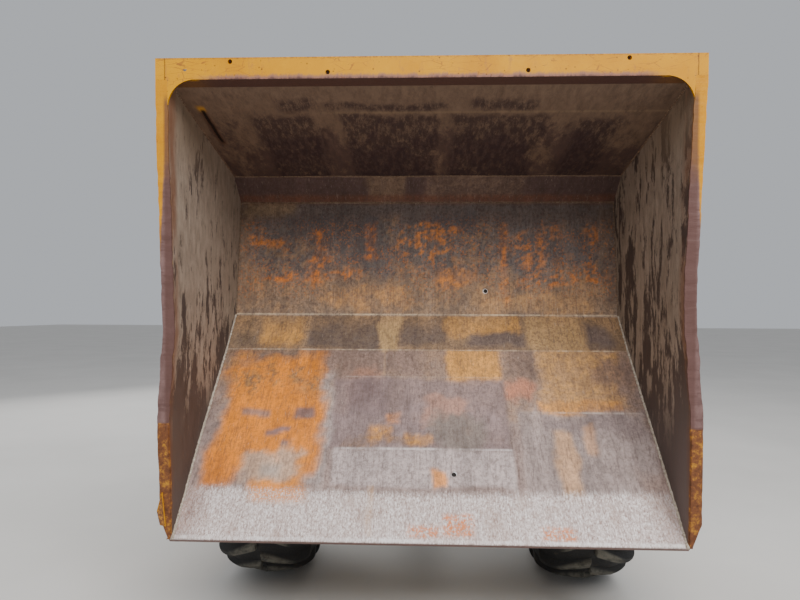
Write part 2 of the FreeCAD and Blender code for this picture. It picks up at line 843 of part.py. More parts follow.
def make_front_chassis():
    chassis = body("front_chassis")
    axle = "front_axle_y"
    post = "pivot_pin + 38"
    plate = [
        (f"{axle} - nose_ahead", "chassis_low + 40"),
        (f"{axle} - nose_ahead", "axle_z + 60"),
        (f"skip_pivot_y - ({post})", "skip_pivot_z"),
        (f"skip_pivot_y + {post}", "skip_pivot_z"),
        (f"skip_pivot_y + {post} + 110", "front_rail_high + 50"),
        ("centre_y - 300", "front_rail_high"),
        ("centre_y - 300", "chassis_low + 40"),
        (f"{axle} + 300", "chassis_low"),
        (f"{axle} - 150", "chassis_low"),
    ]
    for side in BOTH:
        span = stations(side, "rail_inner", "rail_outer")
        pad(chassis, "YZ", *span, plate)
        pad(chassis, "YZ", *span, ("skip_pivot_y", "skip_pivot_z", post))
        pad(chassis, "YZ", *stations(side, "rail_outer", "web_inner - 2"),
            ("skip_pivot_y", "skip_pivot_z", "pivot_pin + 22"))
        rest = box("front_axle_y + 760", "front_axle_y + 860", "front_rail_high - 60", "skip_pivot_z + web_low - 6")
        pad(chassis, "YZ", *stations(side, "rail_outer", "web_outer + 10"), rest)
        pad(chassis, "YZ", *stations(side, "rail_outer", "ram_x - ram_eye_half - 3"), ("foot_y", "foot_z", "ram_pin + 16"))
        pad(chassis, "YZ", *stations(side, "rail_outer", "ram_x + ram_eye_half + 12"), ("foot_y", "foot_z", "ram_pin"))
    nose = box(f"{axle} - nose_ahead", f"{axle} - nose_ahead + 30", "chassis_low + 40", "axle_z + 55")
    tail = box("centre_y - 325", "centre_y - 300", "chassis_low + 25", "front_rail_high")
    belly = box(f"{axle} + 300", "centre_y - 325", "chassis_low + 25", "chassis_low + 40")
    top = box(f"{axle} + 320", f"{axle} + 440", "front_rail_high - 20", "front_rail_high")
    for tie in (nose, tail, belly, top):
        pad(chassis, "YZ", "-rail_inner", "rail_inner", tie)
    for low, high in (
        ("pivot_z + steer_eye_half + lug_clear", "pivot_z + steer_eye_half + lug_clear + lug_plate"),
        ("pivot_z - steer_eye_half - lug_clear - lug_plate", "pivot_z - steer_eye_half - lug_clear"),
    ):
        bracket = [
            ("rail_outer", "centre_y - steer_reach - 60"),
            ("steer_x", "centre_y - steer_reach - steer_eye"),
            ("steer_x + steer_eye", "centre_y - steer_reach"),
            ("steer_x", "centre_y - steer_reach + steer_eye"),
            ("rail_outer", "centre_y - 300"),
        ]
        pad(chassis, "XY", low, high, bracket)
    holes = "rail_outer + 20"
    pocket(chassis, "YZ", f"-({holes})", holes, ("skip_pivot_y", "skip_pivot_z", "pivot_pin + pin_play"))
    pocket(chassis, "YZ", "-rail_outer - 1", "rail_outer + 1", (axle, "axle_z", "axle_tube + seat_gap"))
    return chassis


def make_centre_pivot():
    knuckle = body("centre_pivot")
    pad(knuckle, "XZ", "centre_y - 300", "centre_y - boss_radius", ("0", "pivot_z", "trunnion_radius"))
    pad(knuckle, "XY", "pivot_z - boss_half + 30", "pivot_z + boss_half - 30",
        box("-boss_radius", "boss_radius", "centre_y - 130", "centre_y"))
    pad(knuckle, "XY", "pivot_z - boss_half", "pivot_z + boss_half", ("0", "centre_y", "boss_radius"))
    pocket(knuckle, "XY", "pivot_z - boss_half - 1", "pivot_z + boss_half + 1",
           ("0", "centre_y", "centre_pin + pin_play"))


def make_pins():
    pin = body("skip_pivot_pin")
    pad(pin, "YZ", "-pivot_pin_end", "pivot_pin_end", ("skip_pivot_y", "skip_pivot_z", "pivot_pin"))
    for side in BOTH:
        pad(pin, "YZ", *stations(side, "web_outer + 3", "pivot_pin_end"),
            ("skip_pivot_y", "skip_pivot_z", "pivot_pin + 14"))
    upright = body("centre_pin")
    low = "pivot_z - fork_z - fork_plate"
    high = "pivot_z + fork_z + fork_plate"
    pad(upright, "XY", f"{low} - 16", f"{high} + 16", ("0", "centre_y", "centre_pin"))
    pad(upright, "XY", high, f"{high} + 16", ("0", "centre_y", "centre_pin + 18"))
    pad(upright, "XY", f"{low} - 16", low, ("0", "centre_y", "centre_pin + 12"))


# Rams: barrel and rod, each drawn upright about its own eye


def make_ram(barrel_name, rod_name, size):
    """size gives the names of the ram's own dimensions."""
    barrel = body(barrel_name)
    half = size["eye_half"]
    pad(barrel, "YZ", f"-{half}", half, ("0", "0", size["eye"]))
    pad(barrel, "XY", f"{size['eye']} * 0.6", size["barrel_long"], ("0", "0", size["barrel"]))
    pocket(barrel, "XY", f"{size['eye']} + 16", f"{size['barrel_long']} - 26", ("0", "0", size["bore"]))
    pocket(barrel, "XY", f"{size['barrel_long']} - 30", f"{size['barrel_long']} + 1",
           ("0", "0", f"{size['rod']} + pin_play"))
    pocket(barrel, "YZ", f"-{half} - 1", f"{half} + 1", ("0", "0", f"{size['pin']} + pin_play"))
    rod = body(rod_name)
    pad(rod, "YZ", f"-{half}", half, ("0", "0", size["eye"]))
    pad(rod, "XY", f"-({size['rod_long']})", f"-{size['eye']} * 0.6", ("0", "0", size["rod"]))
    pad(rod, "XY", f"-({size['rod_long']})", f"30 - {size['rod_long']}", ("0", "0", f"{size['bore']} - 0.3"))
    pocket(rod, "YZ", f"-{half} - 1", f"{half} + 1", ("0", "0", size["pin"]))
    return barrel, rod


def make_tip_rams():
    size = {
        "eye": "ram_eye", "eye_half": "ram_eye_half", "pin": "ram_pin", "barrel": "ram_barrel",
        "bore": "ram_bore", "rod": "ram_rod", "barrel_long": "ram_barrel_long", "rod_long": "ram_rod_long",
    }
    lean = "atan((foot_y - head_y) / (head_z - foot_z)) / 1deg"
    for side in BOTH:
        name = SIDE_NAME[side]
        barrel, rod = make_ram(f"tip_barrel_{name}", f"tip_rod_{name}", size)
        place(barrel, f"{side} * ram_x", "foot_y", "foot_z", X_AXIS, lean)
        place(rod, f"{side} * ram_x", "head_y", "head_z", X_AXIS, lean)


def make_steer_ram():
    """The ram lies along Y with its barrel's eye on the rear frame."""
    size = {
        "eye": "steer_eye", "eye_half": "steer_eye_half", "pin": "steer_pin",
        "barrel": "steer_barrel_radius", "bore": "steer_bore", "rod": "steer_rod_radius",
        "barrel_long": "steer_barrel_long", "rod_long": "steer_rod_long",
    }
    barrel, rod = make_ram("steer_barrel", "steer_rod", size)
    lay_down = Rotation(Z_AXIS, -X_AXIS, -Y_AXIS, "XYZ")
    for piece, y in ((barrel, "centre_y + steer_reach"), (rod, "centre_y - steer_reach")):
        place(piece, "steer_x", y, "pivot_z")
        piece.Placement.Rotation = lay_down


# Rear chassis and what it carries


def make_rear_chassis():
    chassis = body("rear_chassis")
    end = "centre_y + rear_rail_end"
    front = "centre_y + rear_rail_front"
    notch = "centre_y + steer_reach - 40"
    plate = [
        (front, "pivot_z - fork_z - fork_plate"),
        (front, "pivot_z - 110"),
        (notch, "pivot_z - 80"),
        (notch, "pivot_z + 80"),
        (front, "pivot_z + 110"),
        (front, "pivot_z + fork_z + fork_plate"),
        ("centre_y + rear_rail_front + 60", "chassis_high"),
        (end, "chassis_high"),
        (end, "chassis_low + 60"),
        ("rear_axle_y + 350", "chassis_low"),
    ]
    for side in BOTH:
        pad(chassis, "YZ", *stations(side, "rail_inner", "rail_outer"), plate)
    fork = [
        ("-boss_radius", "centre_y"),
        ("boss_radius", "centre_y"),
        ("rail_outer", "centre_y + rear_rail_front"),
        ("rail_outer", "centre_y + steer_reach + 60"),
        ("-rail_outer", "centre_y + steer_reach + 60"),
        ("-rail_outer", "centre_y + rear_rail_front"),
    ]
    for low, high in (
        ("pivot_z + fork_z", "pivot_z + fork_z + fork_plate"),
        ("pivot_z - fork_z - fork_plate", "pivot_z - fork_z"),
    ):
        pad(chassis, "XY", low, high, fork)
        pad(chassis, "XY", low, high, ("0", "centre_y", "boss_radius"))
    for low, high in (
        ("pivot_z + steer_eye_half + 3", "pivot_z + steer_eye_half + 3 + lug_plate"),
        ("pivot_z - steer_eye_half - 3 - lug_plate", "pivot_z - steer_eye_half - 3"),
    ):
        bracket = [
            ("rail_outer", "centre_y + steer_reach - 40"),
            ("steer_x", "centre_y + steer_reach - steer_eye"),
            ("steer_x + steer_eye", "centre_y + steer_reach"),
            ("steer_x", "centre_y + steer_reach + steer_eye"),
            ("rail_outer", "centre_y + steer_reach + 80"),
        ]
        pad(chassis, "XY", low, high, bracket)
    pad(chassis, "XY", "pivot_z - steer_eye_half - 3 - lug_plate", "pivot_z + steer_eye_half + 3 + lug_plate",
        ("steer_x", "centre_y + steer_reach", "steer_pin"))
    ties = (
        box("centre_y + 900", "centre_y + 930", "chassis_low + 40", "chassis_high - 60"),
        box(f"{end} - 25", end, "chassis_low + 60", "chassis_high"),
    )
    for tie in ties:
        pad(chassis, "YZ", "-rail_inner", "rail_inner", tie)
    pocket(chassis, "YZ", "-rail_outer - 1", "rail_outer + 1",
           ("rear_axle_y", "axle_z", "axle_tube + seat_gap"))
    pocket(chassis, "XY", "chassis_low - 40", "chassis_high + 20", ("0", "centre_y", "centre_pin + pin_play"))


def make_drive():
    gearbox = body("transmission")
    pad(gearbox, "XY", "chassis_low + 40", "chassis_high - 60",
        box("-rail_inner + 15", "rail_inner - 15", "centre_y + 440", "centre_y + 840"))
    rounded(gearbox, "30", lambda edge: along(edge, Z_AXIS))
    pad(gearbox, "YZ", "-rail_inner", "rail_inner", ("centre_y + 640", "chassis_high - 150", "40"))
    pad(gearbox, "XZ", "centre_y + 300", "centre_y + 500", ("0", "pivot_z - 30", "60"))

    engine = body("engine_block")
    back = "centre_y + bonnet_back"
    pad(engine, "YZ", "-engine_half", "engine_half", [
        ("centre_y + bonnet_front + 40", "axle_z + 70"),
        ("centre_y + bonnet_front + 40", "bonnet_low + 90"),
        ("centre_y + bonnet_front + 120", "bonnet_low + 330"),
        (f"{back} - 130", "bonnet_low + 400"),
        (f"{back} - 130", "axle_z + 130"),
        (f"{back} - 220", "axle_z + 70"),
    ])
    for y in ("centre_y + bonnet_front + 120", f"{back} - 220"):
        pad(engine, "YZ", "-rail_inner", "rail_inner", (y, "chassis_high - 110", "32"))

    cooler = body("radiator")
    pad(cooler, "XZ", f"{back} - 80", f"{back} - 24",
        box("-grille_half + 20", "grille_half - 20", "deck_top", "bonnet_low + 470"))


def make_ballast():
    ballast = body("ballast")
    front = "centre_y + rear_rail_end"
    pad(ballast, "XY", "chassis_low", "chassis_high - 20", [
        ("-ballast_half", front),
        ("ballast_half", front),
        ("ballast_half", f"{front} + ballast_thick - 50"),
        ("ballast_half - 70", f"{front} + ballast_thick"),
        ("70 - ballast_half", f"{front} + ballast_thick"),
        ("-ballast_half", f"{front} + ballast_thick - 50"),
    ])
    y = "centre_y + bonnet_back + hinge_back"
    z = "bonnet_low + hinge_up"
    for side in BOTH:
        for near, far in (("hinge_x - hinge_half - 12", "hinge_x - hinge_half - 2"),
                          ("hinge_x + hinge_half + 2", "hinge_x + hinge_half + 12")):
            span = stations(side, near, far)
            pad(ballast, "YZ", *span, box(f"{y} - hinge_eye", f"{y} + hinge_eye", "chassis_high - 20", z))
            pad(ballast, "YZ", *span, (y, z, "hinge_eye"))
        pad(ballast, "YZ", *stations(side, "hinge_x - hinge_half - 16", "hinge_x + hinge_half + 16"),
            (y, z, "hinge_pin"))
    pocket(ballast, "XY", "chassis_low + 170", "chassis_low + 170 + hitch_gap",
           box("-90", "90", f"{front} + ballast_thick - 90", f"{front} + ballast_thick + 1"))
    pocket(ballast, "XY", "chassis_low + 60", "chassis_high",
           ("0", f"{front} + ballast_thick - 40", "hitch_pin"))


def make_deck():
    deck = body("deck")
    low, high = "chassis_high", "deck_top"
    front = "centre_y + deck_front"
    back = "centre_y + rear_rail_end"
    pad(deck, "XY", low, high, [
        ("-deck_front_half", front),
        ("deck_front_half", front),
        ("deck_half", f"{front} + 180"),
        ("deck_half", "centre_y + deck_back"),
        ("deck_inner", "centre_y + deck_back"),
        ("deck_inner", back),
        ("-deck_inner", back),
        ("-deck_inner", "centre_y + deck_back"),
        ("-deck_half", "centre_y + deck_back"),
        ("-deck_half", f"{front} + 180"),
    ])
    pad(deck, "XZ", front, f"{front} + guard_thick",
        box("-deck_front_half", "deck_front_half", high, f"{high} + guard_high"))
    for side in BOTH:
        reach = f"{side} * deck_front_half"
        wing = [
            (reach, front),
            (f"{side} * (deck_front_half + 120)", f"{front} + 120"),
            (f"{side} * (deck_front_half + 116)", f"{front} + 124"),
            (f"{side} * (deck_front_half - 4)", f"{front} + guard_thick"),
        ]
        pad(deck, "XY", high, f"{high} + guard_high - 60", wing)
    pocket(deck, "XY", "chassis_high - 1", "deck_top + 1",
           box("-rail_inner", "rail_inner", "centre_y + bonnet_front + 20", "centre_y + bonnet_back - 100"))


def make_mudguards():
    for side in BOTH:
        guard = body(f"mudguard_{SIDE_NAME[side]}")
        radius = value("mudguard_radius")
        thick = value("mudguard_thick")
        low = value("deck_top") - value("axle_z")
        start = math.degrees(math.asin(low / radius))
        turn = 180 - 2 * start
        steps = 12
        def arc(reach):
            corners = []
            for step in range(steps + 1):
                angle = math.radians(start + turn * step / steps)
                corners.append((f"rear_axle_y - {reach} * cos({math.degrees(angle)})",
                                f"axle_z + {reach} * sin({math.degrees(angle)})"))
            return corners
        skin = arc("mudguard_radius") + arc("(mudguard_radius + mudguard_thick)")[::-1]
        pad(guard, "YZ", *stations(side, "mudguard_inner", "mudguard_outer"), skin)
        pad(guard, "YZ", *stations(side, "mudguard_inner", "mudguard_inner + mudguard_thick"),
            arc("(mudguard_radius + 1)"))


def make_tanks():
    for side, name in ((1, "hydraulic_tank"), (-1, "fuel_tank")):
        tank = body(name)
        near, far = stations(side, "rail_outer", "deck_half - 20")
        y_low = "centre_y + tank_front"
        pad(tank, "XZ", y_low, f"{y_low} + tank_long", box(near, far, "tank_low", "chassis_high"))
        rounded(tank, "30", lambda edge: along(edge, Y_AXIS) and edge.CenterOfMass.z < value("tank_low") + 1)
        near, far = stations(side, "deck_half - 30", "deck_half - 20 + step_wide")
        step = box(near, far, "tank_low + 40", "tank_low + 50")
        pad(tank, "XZ", y_low, f"{y_low} + 260", step)


# Operator's place


def make_console():
    console = body("dash_console")
    front = "centre_y + console_front"
    top = "deck_top + console_high"
    pad(console, "YZ", "-console_half", "console_half", [
        (front, "deck_top"),
        (f"{front} + console_deep - 30", "deck_top"),
        (f"{front} + console_deep + 20", f"{top} - console_face"),
        (f"{front} + console_deep + 20 - console_face / tan(column_tilt)", top),
        (front, f"{top} - 40"),
    ])
    rounded(console, "24", lambda edge: not along(edge, X_AXIS) and edge.CenterOfMass.z > value("deck_top") + 1)
    column = body("steering_column")
    pad(column, "XY", "0", "column_long", ("0", "0", "column_radius"))
    pad(column, "XY", "column_long", "column_long + 30", ("0", "0", "spindle_radius"))
    column_foot(column)


def column_foot(piece, up="0"):
    """Puts a piece on the steering column's line, up from the console's sloping face."""
    back = "centre_y + console_front + console_deep + 20"
    y = f"{back} - console_face / 2 / tan(column_tilt) + ({up}) * sin(column_tilt)"
    z = f"deck_top + console_high - console_face / 2 + ({up}) * cos(column_tilt)"
    return place(piece, "0", y, z, X_AXIS, "-column_tilt")


def make_steering_wheel():
    wheel = body("steering_wheel")
    pad(wheel, "XY", "0", "34", ("0", "0", "wheel_hub"))
    for angle in (90, 210, 330):
        c, s = math.cos(math.radians(angle)), math.sin(math.radians(angle))
        spoke = []
        for run, across in (("20", -14), ("wheel_rim_radius", -11), ("wheel_rim_radius", 11), ("20", 14)):
            spoke.append((f"{run} * {c} - {across * s}", f"{run} * {s} + {across * c}"))
        pad(wheel, "XY", "12", "22", spoke)
    turned(wheel, "XZ", "Z", [
        ("wheel_rim_radius - wheel_rim_thick", "17 - wheel_rim_thick / 2"),
        ("wheel_rim_radius - wheel_rim_thick / 2", "17 - wheel_rim_thick"),
        ("wheel_rim_radius + wheel_rim_thick / 2", "17 - wheel_rim_thick"),
        ("wheel_rim_radius + wheel_rim_thick", "17 - wheel_rim_thick / 2"),
        ("wheel_rim_radius + wheel_rim_thick", "17 + wheel_rim_thick / 2"),
        ("wheel_rim_radius + wheel_rim_thick / 2", "17 + wheel_rim_thick"),
        ("wheel_rim_radius - wheel_rim_thick / 2", "17 + wheel_rim_thick"),
        ("wheel_rim_radius - wheel_rim_thick", "17 + wheel_rim_thick / 2"),
    ])
    pocket(wheel, "XY", "-1", "30", ("0", "0", "spindle_radius + pin_play"))
    column_foot(wheel, "column_long + 5")


def make_seat():
    low = "deck_top"
    front = "centre_y + seat_front"
    base = body("seat_base")
    pad(base, "YZ", "-seat_half + 30", "seat_half - 30", [
        (f"{front} + 60", low),
        (f"{front} + seat_long - 40", low),
        (f"{front} + seat_long", f"{low} + seat_base_high"),
        (front, f"{low} + seat_base_high"),
        (f"{front} + 20", f"{low} + seat_base_high - 60"),
    ])
    top = f"{low} + seat_base_high + seat_gap"
    cushion = body("seat_cushion")
    pad(cushion, "YZ", "-seat_half", "seat_half", [
        (f"{front} - 20", top),
        (f"{front} + seat_long - 10", top),
        (f"{front} + seat_long - 30", f"{top} + cushion_thick - 20"),
        (f"{front} + 20", f"{top} + cushion_thick"),
        (f"{front} - 20", f"{top} + cushion_thick - 40"),
    ])
    back = body("seat_backrest")
    foot = f"{front} + seat_long"
    pad(back, "YZ", "-seat_half + 15", "seat_half - 15", [
        (f"{foot} - 8", top),
        (f"{foot} + backrest_thick - 30", top),
        (f"{foot} + backrest_thick", f"{top} + 60"),
        (f"{foot} + backrest_thick + 20", f"{top} + backrest_high"),
        (f"{foot} + 50", f"{top} + backrest_high + 10"),
        (f"{foot} - 8", f"{top} + cushion_thick"),
    ])


def make_levers():
    levers = body("control_levers")
    front = "centre_y + seat_front + 60"
    pad(levers, "YZ", "lever_x - 45", "lever_x + 45", [
        (front, "deck_top"),
        (f"{front} + 300", "deck_top"),
        (f"{front} + 300", "deck_top + 330"),
        (f"{front} + 30", "deck_top + 370"),
    ])
    for step in range(3):
        x = f"lever_x + {step * 30 - 30}"
        pad(levers, "XY", "deck_top + 340", "deck_top + 470", (x, f"{front} + 90", "6"))
        pad(levers, "XY", "deck_top + 460", "deck_top + 500", (x, f"{front} + 90", "13"))


# Roll hoop: two posts on the deck and a folding upper hoop with the beacon


def make_hoop():
    y = "centre_y + hoop_back"
    posts = body("hoop_posts")
    for side in BOTH:
        span = stations(side, "hoop_half - hoop_wide / 2", "hoop_half + hoop_wide / 2")
        pad(posts, "YZ", *span, box(y, f"{y} + hoop_deep", "deck_top", "hoop_hinge_z - 60"))
        foot = stations(side, "hoop_half - 60", "hoop_half + 75")
        pad(posts, "YZ", *foot, box(f"{y} - 40", f"{y} + hoop_deep + 40", "deck_top", "deck_top + 16"))
        for near, far in (
            ("hoop_half - hoop_wide / 2 - hoop_ear - 5.5", "hoop_half - hoop_wide / 2 - 5.5"),
            ("hoop_half + hoop_wide / 2 + 5.5", "hoop_half + hoop_wide / 2 + hoop_ear + 5.5"),
        ):
            ear = box(y, f"{y} + hoop_deep", "hoop_hinge_z - 160", "hoop_hinge_z")
            pad(posts, "YZ", *stations(side, near, far), ear)
            pad(posts, "YZ", *stations(side, near, far), (f"{y} + hoop_deep / 2", "hoop_hinge_z", "hoop_deep / 2"))
        spacer = stations(side, "hoop_half - hoop_wide / 2 - 6", "hoop_half + hoop_wide / 2 + 6")
        pad(posts, "YZ", *spacer, box(y, f"{y} + hoop_deep", "hoop_hinge_z - 160", "hoop_hinge_z - 60"))
        pin = stations(side, "hoop_half - hoop_wide / 2 - hoop_ear - 14", "hoop_half + hoop_wide / 2 + hoop_ear + 14")
        pad(posts, "YZ", *pin, (f"{y} + hoop_deep / 2", "hoop_hinge_z", "hoop_pin"))

    hoop = body("roll_hoop")
    outer = "hoop_half + hoop_wide / 2"
    inner = "hoop_half - hoop_wide / 2"
    pad(hoop, "XZ", y, f"{y} + hoop_deep", [
        (f"-({outer})", "hoop_hinge_z"), (f"-({outer})", "hoop_top"),
        (outer, "hoop_top"), (outer, "hoop_hinge_z"),
        (inner, "hoop_hinge_z"), (inner, "hoop_top - hoop_wide"),
        (f"-({inner})", "hoop_top - hoop_wide"), (f"-({inner})", "hoop_hinge_z"),
    ])
    top = value("hoop_top") - 1
    rounded(hoop, "hoop_bend", lambda edge: along(edge, Y_AXIS) and edge.CenterOfMass.z > top)
    under_top = value("hoop_top - hoop_wide")
    rounded(hoop, "hoop_bend - hoop_wide",
            lambda edge: along(edge, Y_AXIS) and abs(edge.CenterOfMass.z - under_top) < 1)
    for side in BOTH:
        span = stations(side, inner, outer)
        pad(hoop, "YZ", *span, (f"{y} + hoop_deep / 2", "hoop_hinge_z", "hoop_deep / 2"))
    reach = "hoop_half + hoop_wide"
    pocket(hoop, "YZ", f"-({reach})", reach, (f"{y} + hoop_deep / 2", "hoop_hinge_z", "hoop_pin + pin_play"))

    beacon = body("beacon")
    turned(beacon, "XZ", "Z", [
        ("0", "0"),
        ("beacon_radius - 15", "0"),
        ("beacon_radius - 15", "30"),
        ("beacon_radius", "30"),
        ("beacon_radius", "beacon_high - 30"),
        ("beacon_radius - 22", "beacon_high"),
        ("0", "beacon_high"),
    ])
    place(beacon, "0", f"{y} + hoop_deep / 2", "hoop_top")


# Bonnet: pressed shell with its grille, hinged at the back


def make_bonnet():
    bonnet = body("bonnet")
    front = "centre_y + bonnet_front"
    back = "centre_y + bonnet_back"
    top = "bonnet_low + bonnet_high"
    pad(bonnet, "YZ", "-bonnet_half", "bonnet_half", [
        (front, "bonnet_low"),
        (back, "bonnet_low"),
        (back, f"{top} - 160"),
        (f"{back} - 60", f"{top} - 60"),
        (front, top),
    ])
    low = value("bonnet_low") + 1
    rounded(bonnet, "bonnet_round",
            lambda edge: not along(edge, X_AXIS) and not along(edge, Z_AXIS) and edge.CenterOfMass.z > low
            and abs(edge.CenterOfMass.x) > 1)
    document.recompute()
    base = bonnet.Tip
    faces = [f"Face{number}" for number, face in enumerate(base.Shape.Faces, start=1)
             if face.CenterOfMass.z < low]
    shell = bonnet.newObject("PartDesign::Thickness", "bonnet_shell")
    shell.Base = (base, faces)
    shell.setExpression("Value", formula("bonnet_wall"))
    shell.Reversed = True
    bonnet.Tip = shell
    pocket(bonnet, "XZ", f"{back} - 20", f"{back} + 20",
           box("-grille_half", "grille_half", "bonnet_low + 60", "bonnet_low + 60 + grille_high"))

    grille = body("bonnet_grille")
    low_z = "bonnet_low + 60 + seat_gap"
    high_z = "bonnet_low + 60 + grille_high - seat_gap"
    reach = "grille_half - seat_gap"
    span = (f"{back} - 18", f"{back} - 4")
    pad(grille, "XZ", *span,
        box(f"-({reach})", reach, low_z, high_z),
        box("24 - grille_half", "grille_half - 24", "bonnet_low + 84", "bonnet_low + 36 + grille_high"))
    count = int(value("grille_bars"))
    for step in range(1, count + 1):
        middle = f"bonnet_low + 84 + (grille_high - 48) * {step} / {count + 1}"
        pad(grille, "XZ", *span,
            box("24 - grille_half", "grille_half - 24", f"{middle} - bar_thick / 2", f"{middle} + bar_thick / 2"))
    leaf = box(back, f"{back} + hinge_back", "bonnet_low + hinge_up - hinge_eye", "bonnet_low + hinge_up + hinge_eye")
    axis = (f"{back} + hinge_back", "bonnet_low + hinge_up")
    for side in BOTH:
        span = stations(side, "hinge_x - hinge_half", "hinge_x + hinge_half")
        pad(bonnet, "YZ", *span, leaf)
        pad(bonnet, "YZ", *span, (*axis, "hinge_eye"))
    reach = "hinge_x + hinge_half + 1"
    pocket(bonnet, "YZ", f"-({reach})", reach, (*axis, "hinge_pin + pin_play"))


def make_details():
    exhaust = body("exhaust")
    y = "centre_y + bonnet_front + 90"
    pad(exhaust, "XY", "deck_top", "deck_top + 780", ("exhaust_x", y, "exhaust_radius"))
    pad(exhaust, "XY", "deck_top + 120", "deck_top + 560", ("exhaust_x", y, "silencer_radius"))

    lamps = body("lamps")
    # lamp: distance from the middle, foot's height, face towards the front or the back, its station
    for across, foot, ahead, face in (
        ("deck_front_half + 70", "deck_top", 1, "centre_y + deck_front + 130"),
        ("ballast_half - 80", "chassis_high - 20", -1, "centre_y + rear_rail_end + 20 + lamp_deep"),
    ):
        middle = f"{foot} + lamp_radius + lamp_bezel + 10"
        for side in BOTH:
            x = f"{side} * ({across})"
            low, high = (face, f"{face} + lamp_deep") if ahead > 0 else (f"{face} - lamp_deep", face)
            pad(lamps, "XZ", low, high, (x, middle, "lamp_radius"))
            low, high = (face, f"{face} + 14") if ahead > 0 else (f"{face} - 14", face)
            pad(lamps, "XZ", low, high, (x, middle, "lamp_radius + lamp_bezel"))
            low, high = (f"{face} + 20", f"{face} + 40") if ahead > 0 else (f"{face} - 40", f"{face} - 20")
            pad(lamps, "XZ", low, high, box(f"{x} - 20", f"{x} + 20", foot, middle))

    rails = body("grab_rails")
    for side in BOTH:
        x = f"{side} * (deck_half - 60)"
        for run in ("deck_front + 260", "deck_front + 520"):
            pad(rails, "XY", "deck_top", "deck_top + 560", (x, f"centre_y + {run}", "rail_tube"))
        pad(rails, "XZ", "centre_y + deck_front + 260", "centre_y + deck_front + 520",
            (x, "deck_top + 560", "rail_tube"))


make_wheels()
make_axle("front_axle", "front_axle_y", 1)
make_axle("rear_axle", "rear_axle_y", -1)
make_skip_sheets()
make_skip_sides()
make_skip_rails()
make_skip_lip()
make_skip_underframe()
make_front_chassis()
make_centre_pivot()
make_pins()
make_tip_rams()
make_steer_ram()
make_rear_chassis()
make_drive()
make_ballast()
make_deck()
make_mudguards()
make_tanks()
make_console()
make_steering_wheel()
make_seat()
make_levers()
make_hoop()
make_bonnet()
make_details()
document.recompute()

# Every object has to be sound before anything is written
unsound = [item.Label for item in document.Objects if "Invalid" in item.State or "Error" in item.State]
unsound += [name for name, piece in PARTS.items() if piece.Shape.isNull() or not piece.Shape.isValid()]
if unsound:
    raise RuntimeError("These could not be built: " + ", ".join(unsound))

os.makedirs("parts", exist_ok=True)
for name, piece in PARTS.items():
    piece.Shape.exportStep(f"parts/{name}.step")
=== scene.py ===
import bmesh
import bpy
import json
import math
import numpy as np
from mathutils import Matrix, Vector, noise


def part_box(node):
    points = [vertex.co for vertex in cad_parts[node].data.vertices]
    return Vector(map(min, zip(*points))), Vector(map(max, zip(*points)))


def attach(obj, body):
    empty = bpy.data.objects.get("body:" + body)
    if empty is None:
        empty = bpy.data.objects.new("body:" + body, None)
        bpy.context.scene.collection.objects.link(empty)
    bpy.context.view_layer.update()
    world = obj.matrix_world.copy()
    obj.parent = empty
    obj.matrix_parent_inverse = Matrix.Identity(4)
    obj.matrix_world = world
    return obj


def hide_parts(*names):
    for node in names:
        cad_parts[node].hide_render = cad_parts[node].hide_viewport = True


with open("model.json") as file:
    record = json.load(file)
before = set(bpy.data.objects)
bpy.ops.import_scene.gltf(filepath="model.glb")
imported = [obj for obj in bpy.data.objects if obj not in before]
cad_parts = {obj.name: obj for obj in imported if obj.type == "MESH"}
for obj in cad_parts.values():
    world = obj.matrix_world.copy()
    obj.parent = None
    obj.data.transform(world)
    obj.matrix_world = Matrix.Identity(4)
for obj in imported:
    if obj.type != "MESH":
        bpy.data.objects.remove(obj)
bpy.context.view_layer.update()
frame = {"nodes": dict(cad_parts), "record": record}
nodes = frame["nodes"]
scene = bpy.context.scene

# Materials


def rgb(red, green, blue):
    """Linear colour of an sRGB one given in 0-255."""
    parts = [c / 255 for c in (red, green, blue)]
    return [c / 12.92 if c < 0.04045 else ((c + 0.055) / 1.055) ** 2.4 for c in parts] + [1.0]


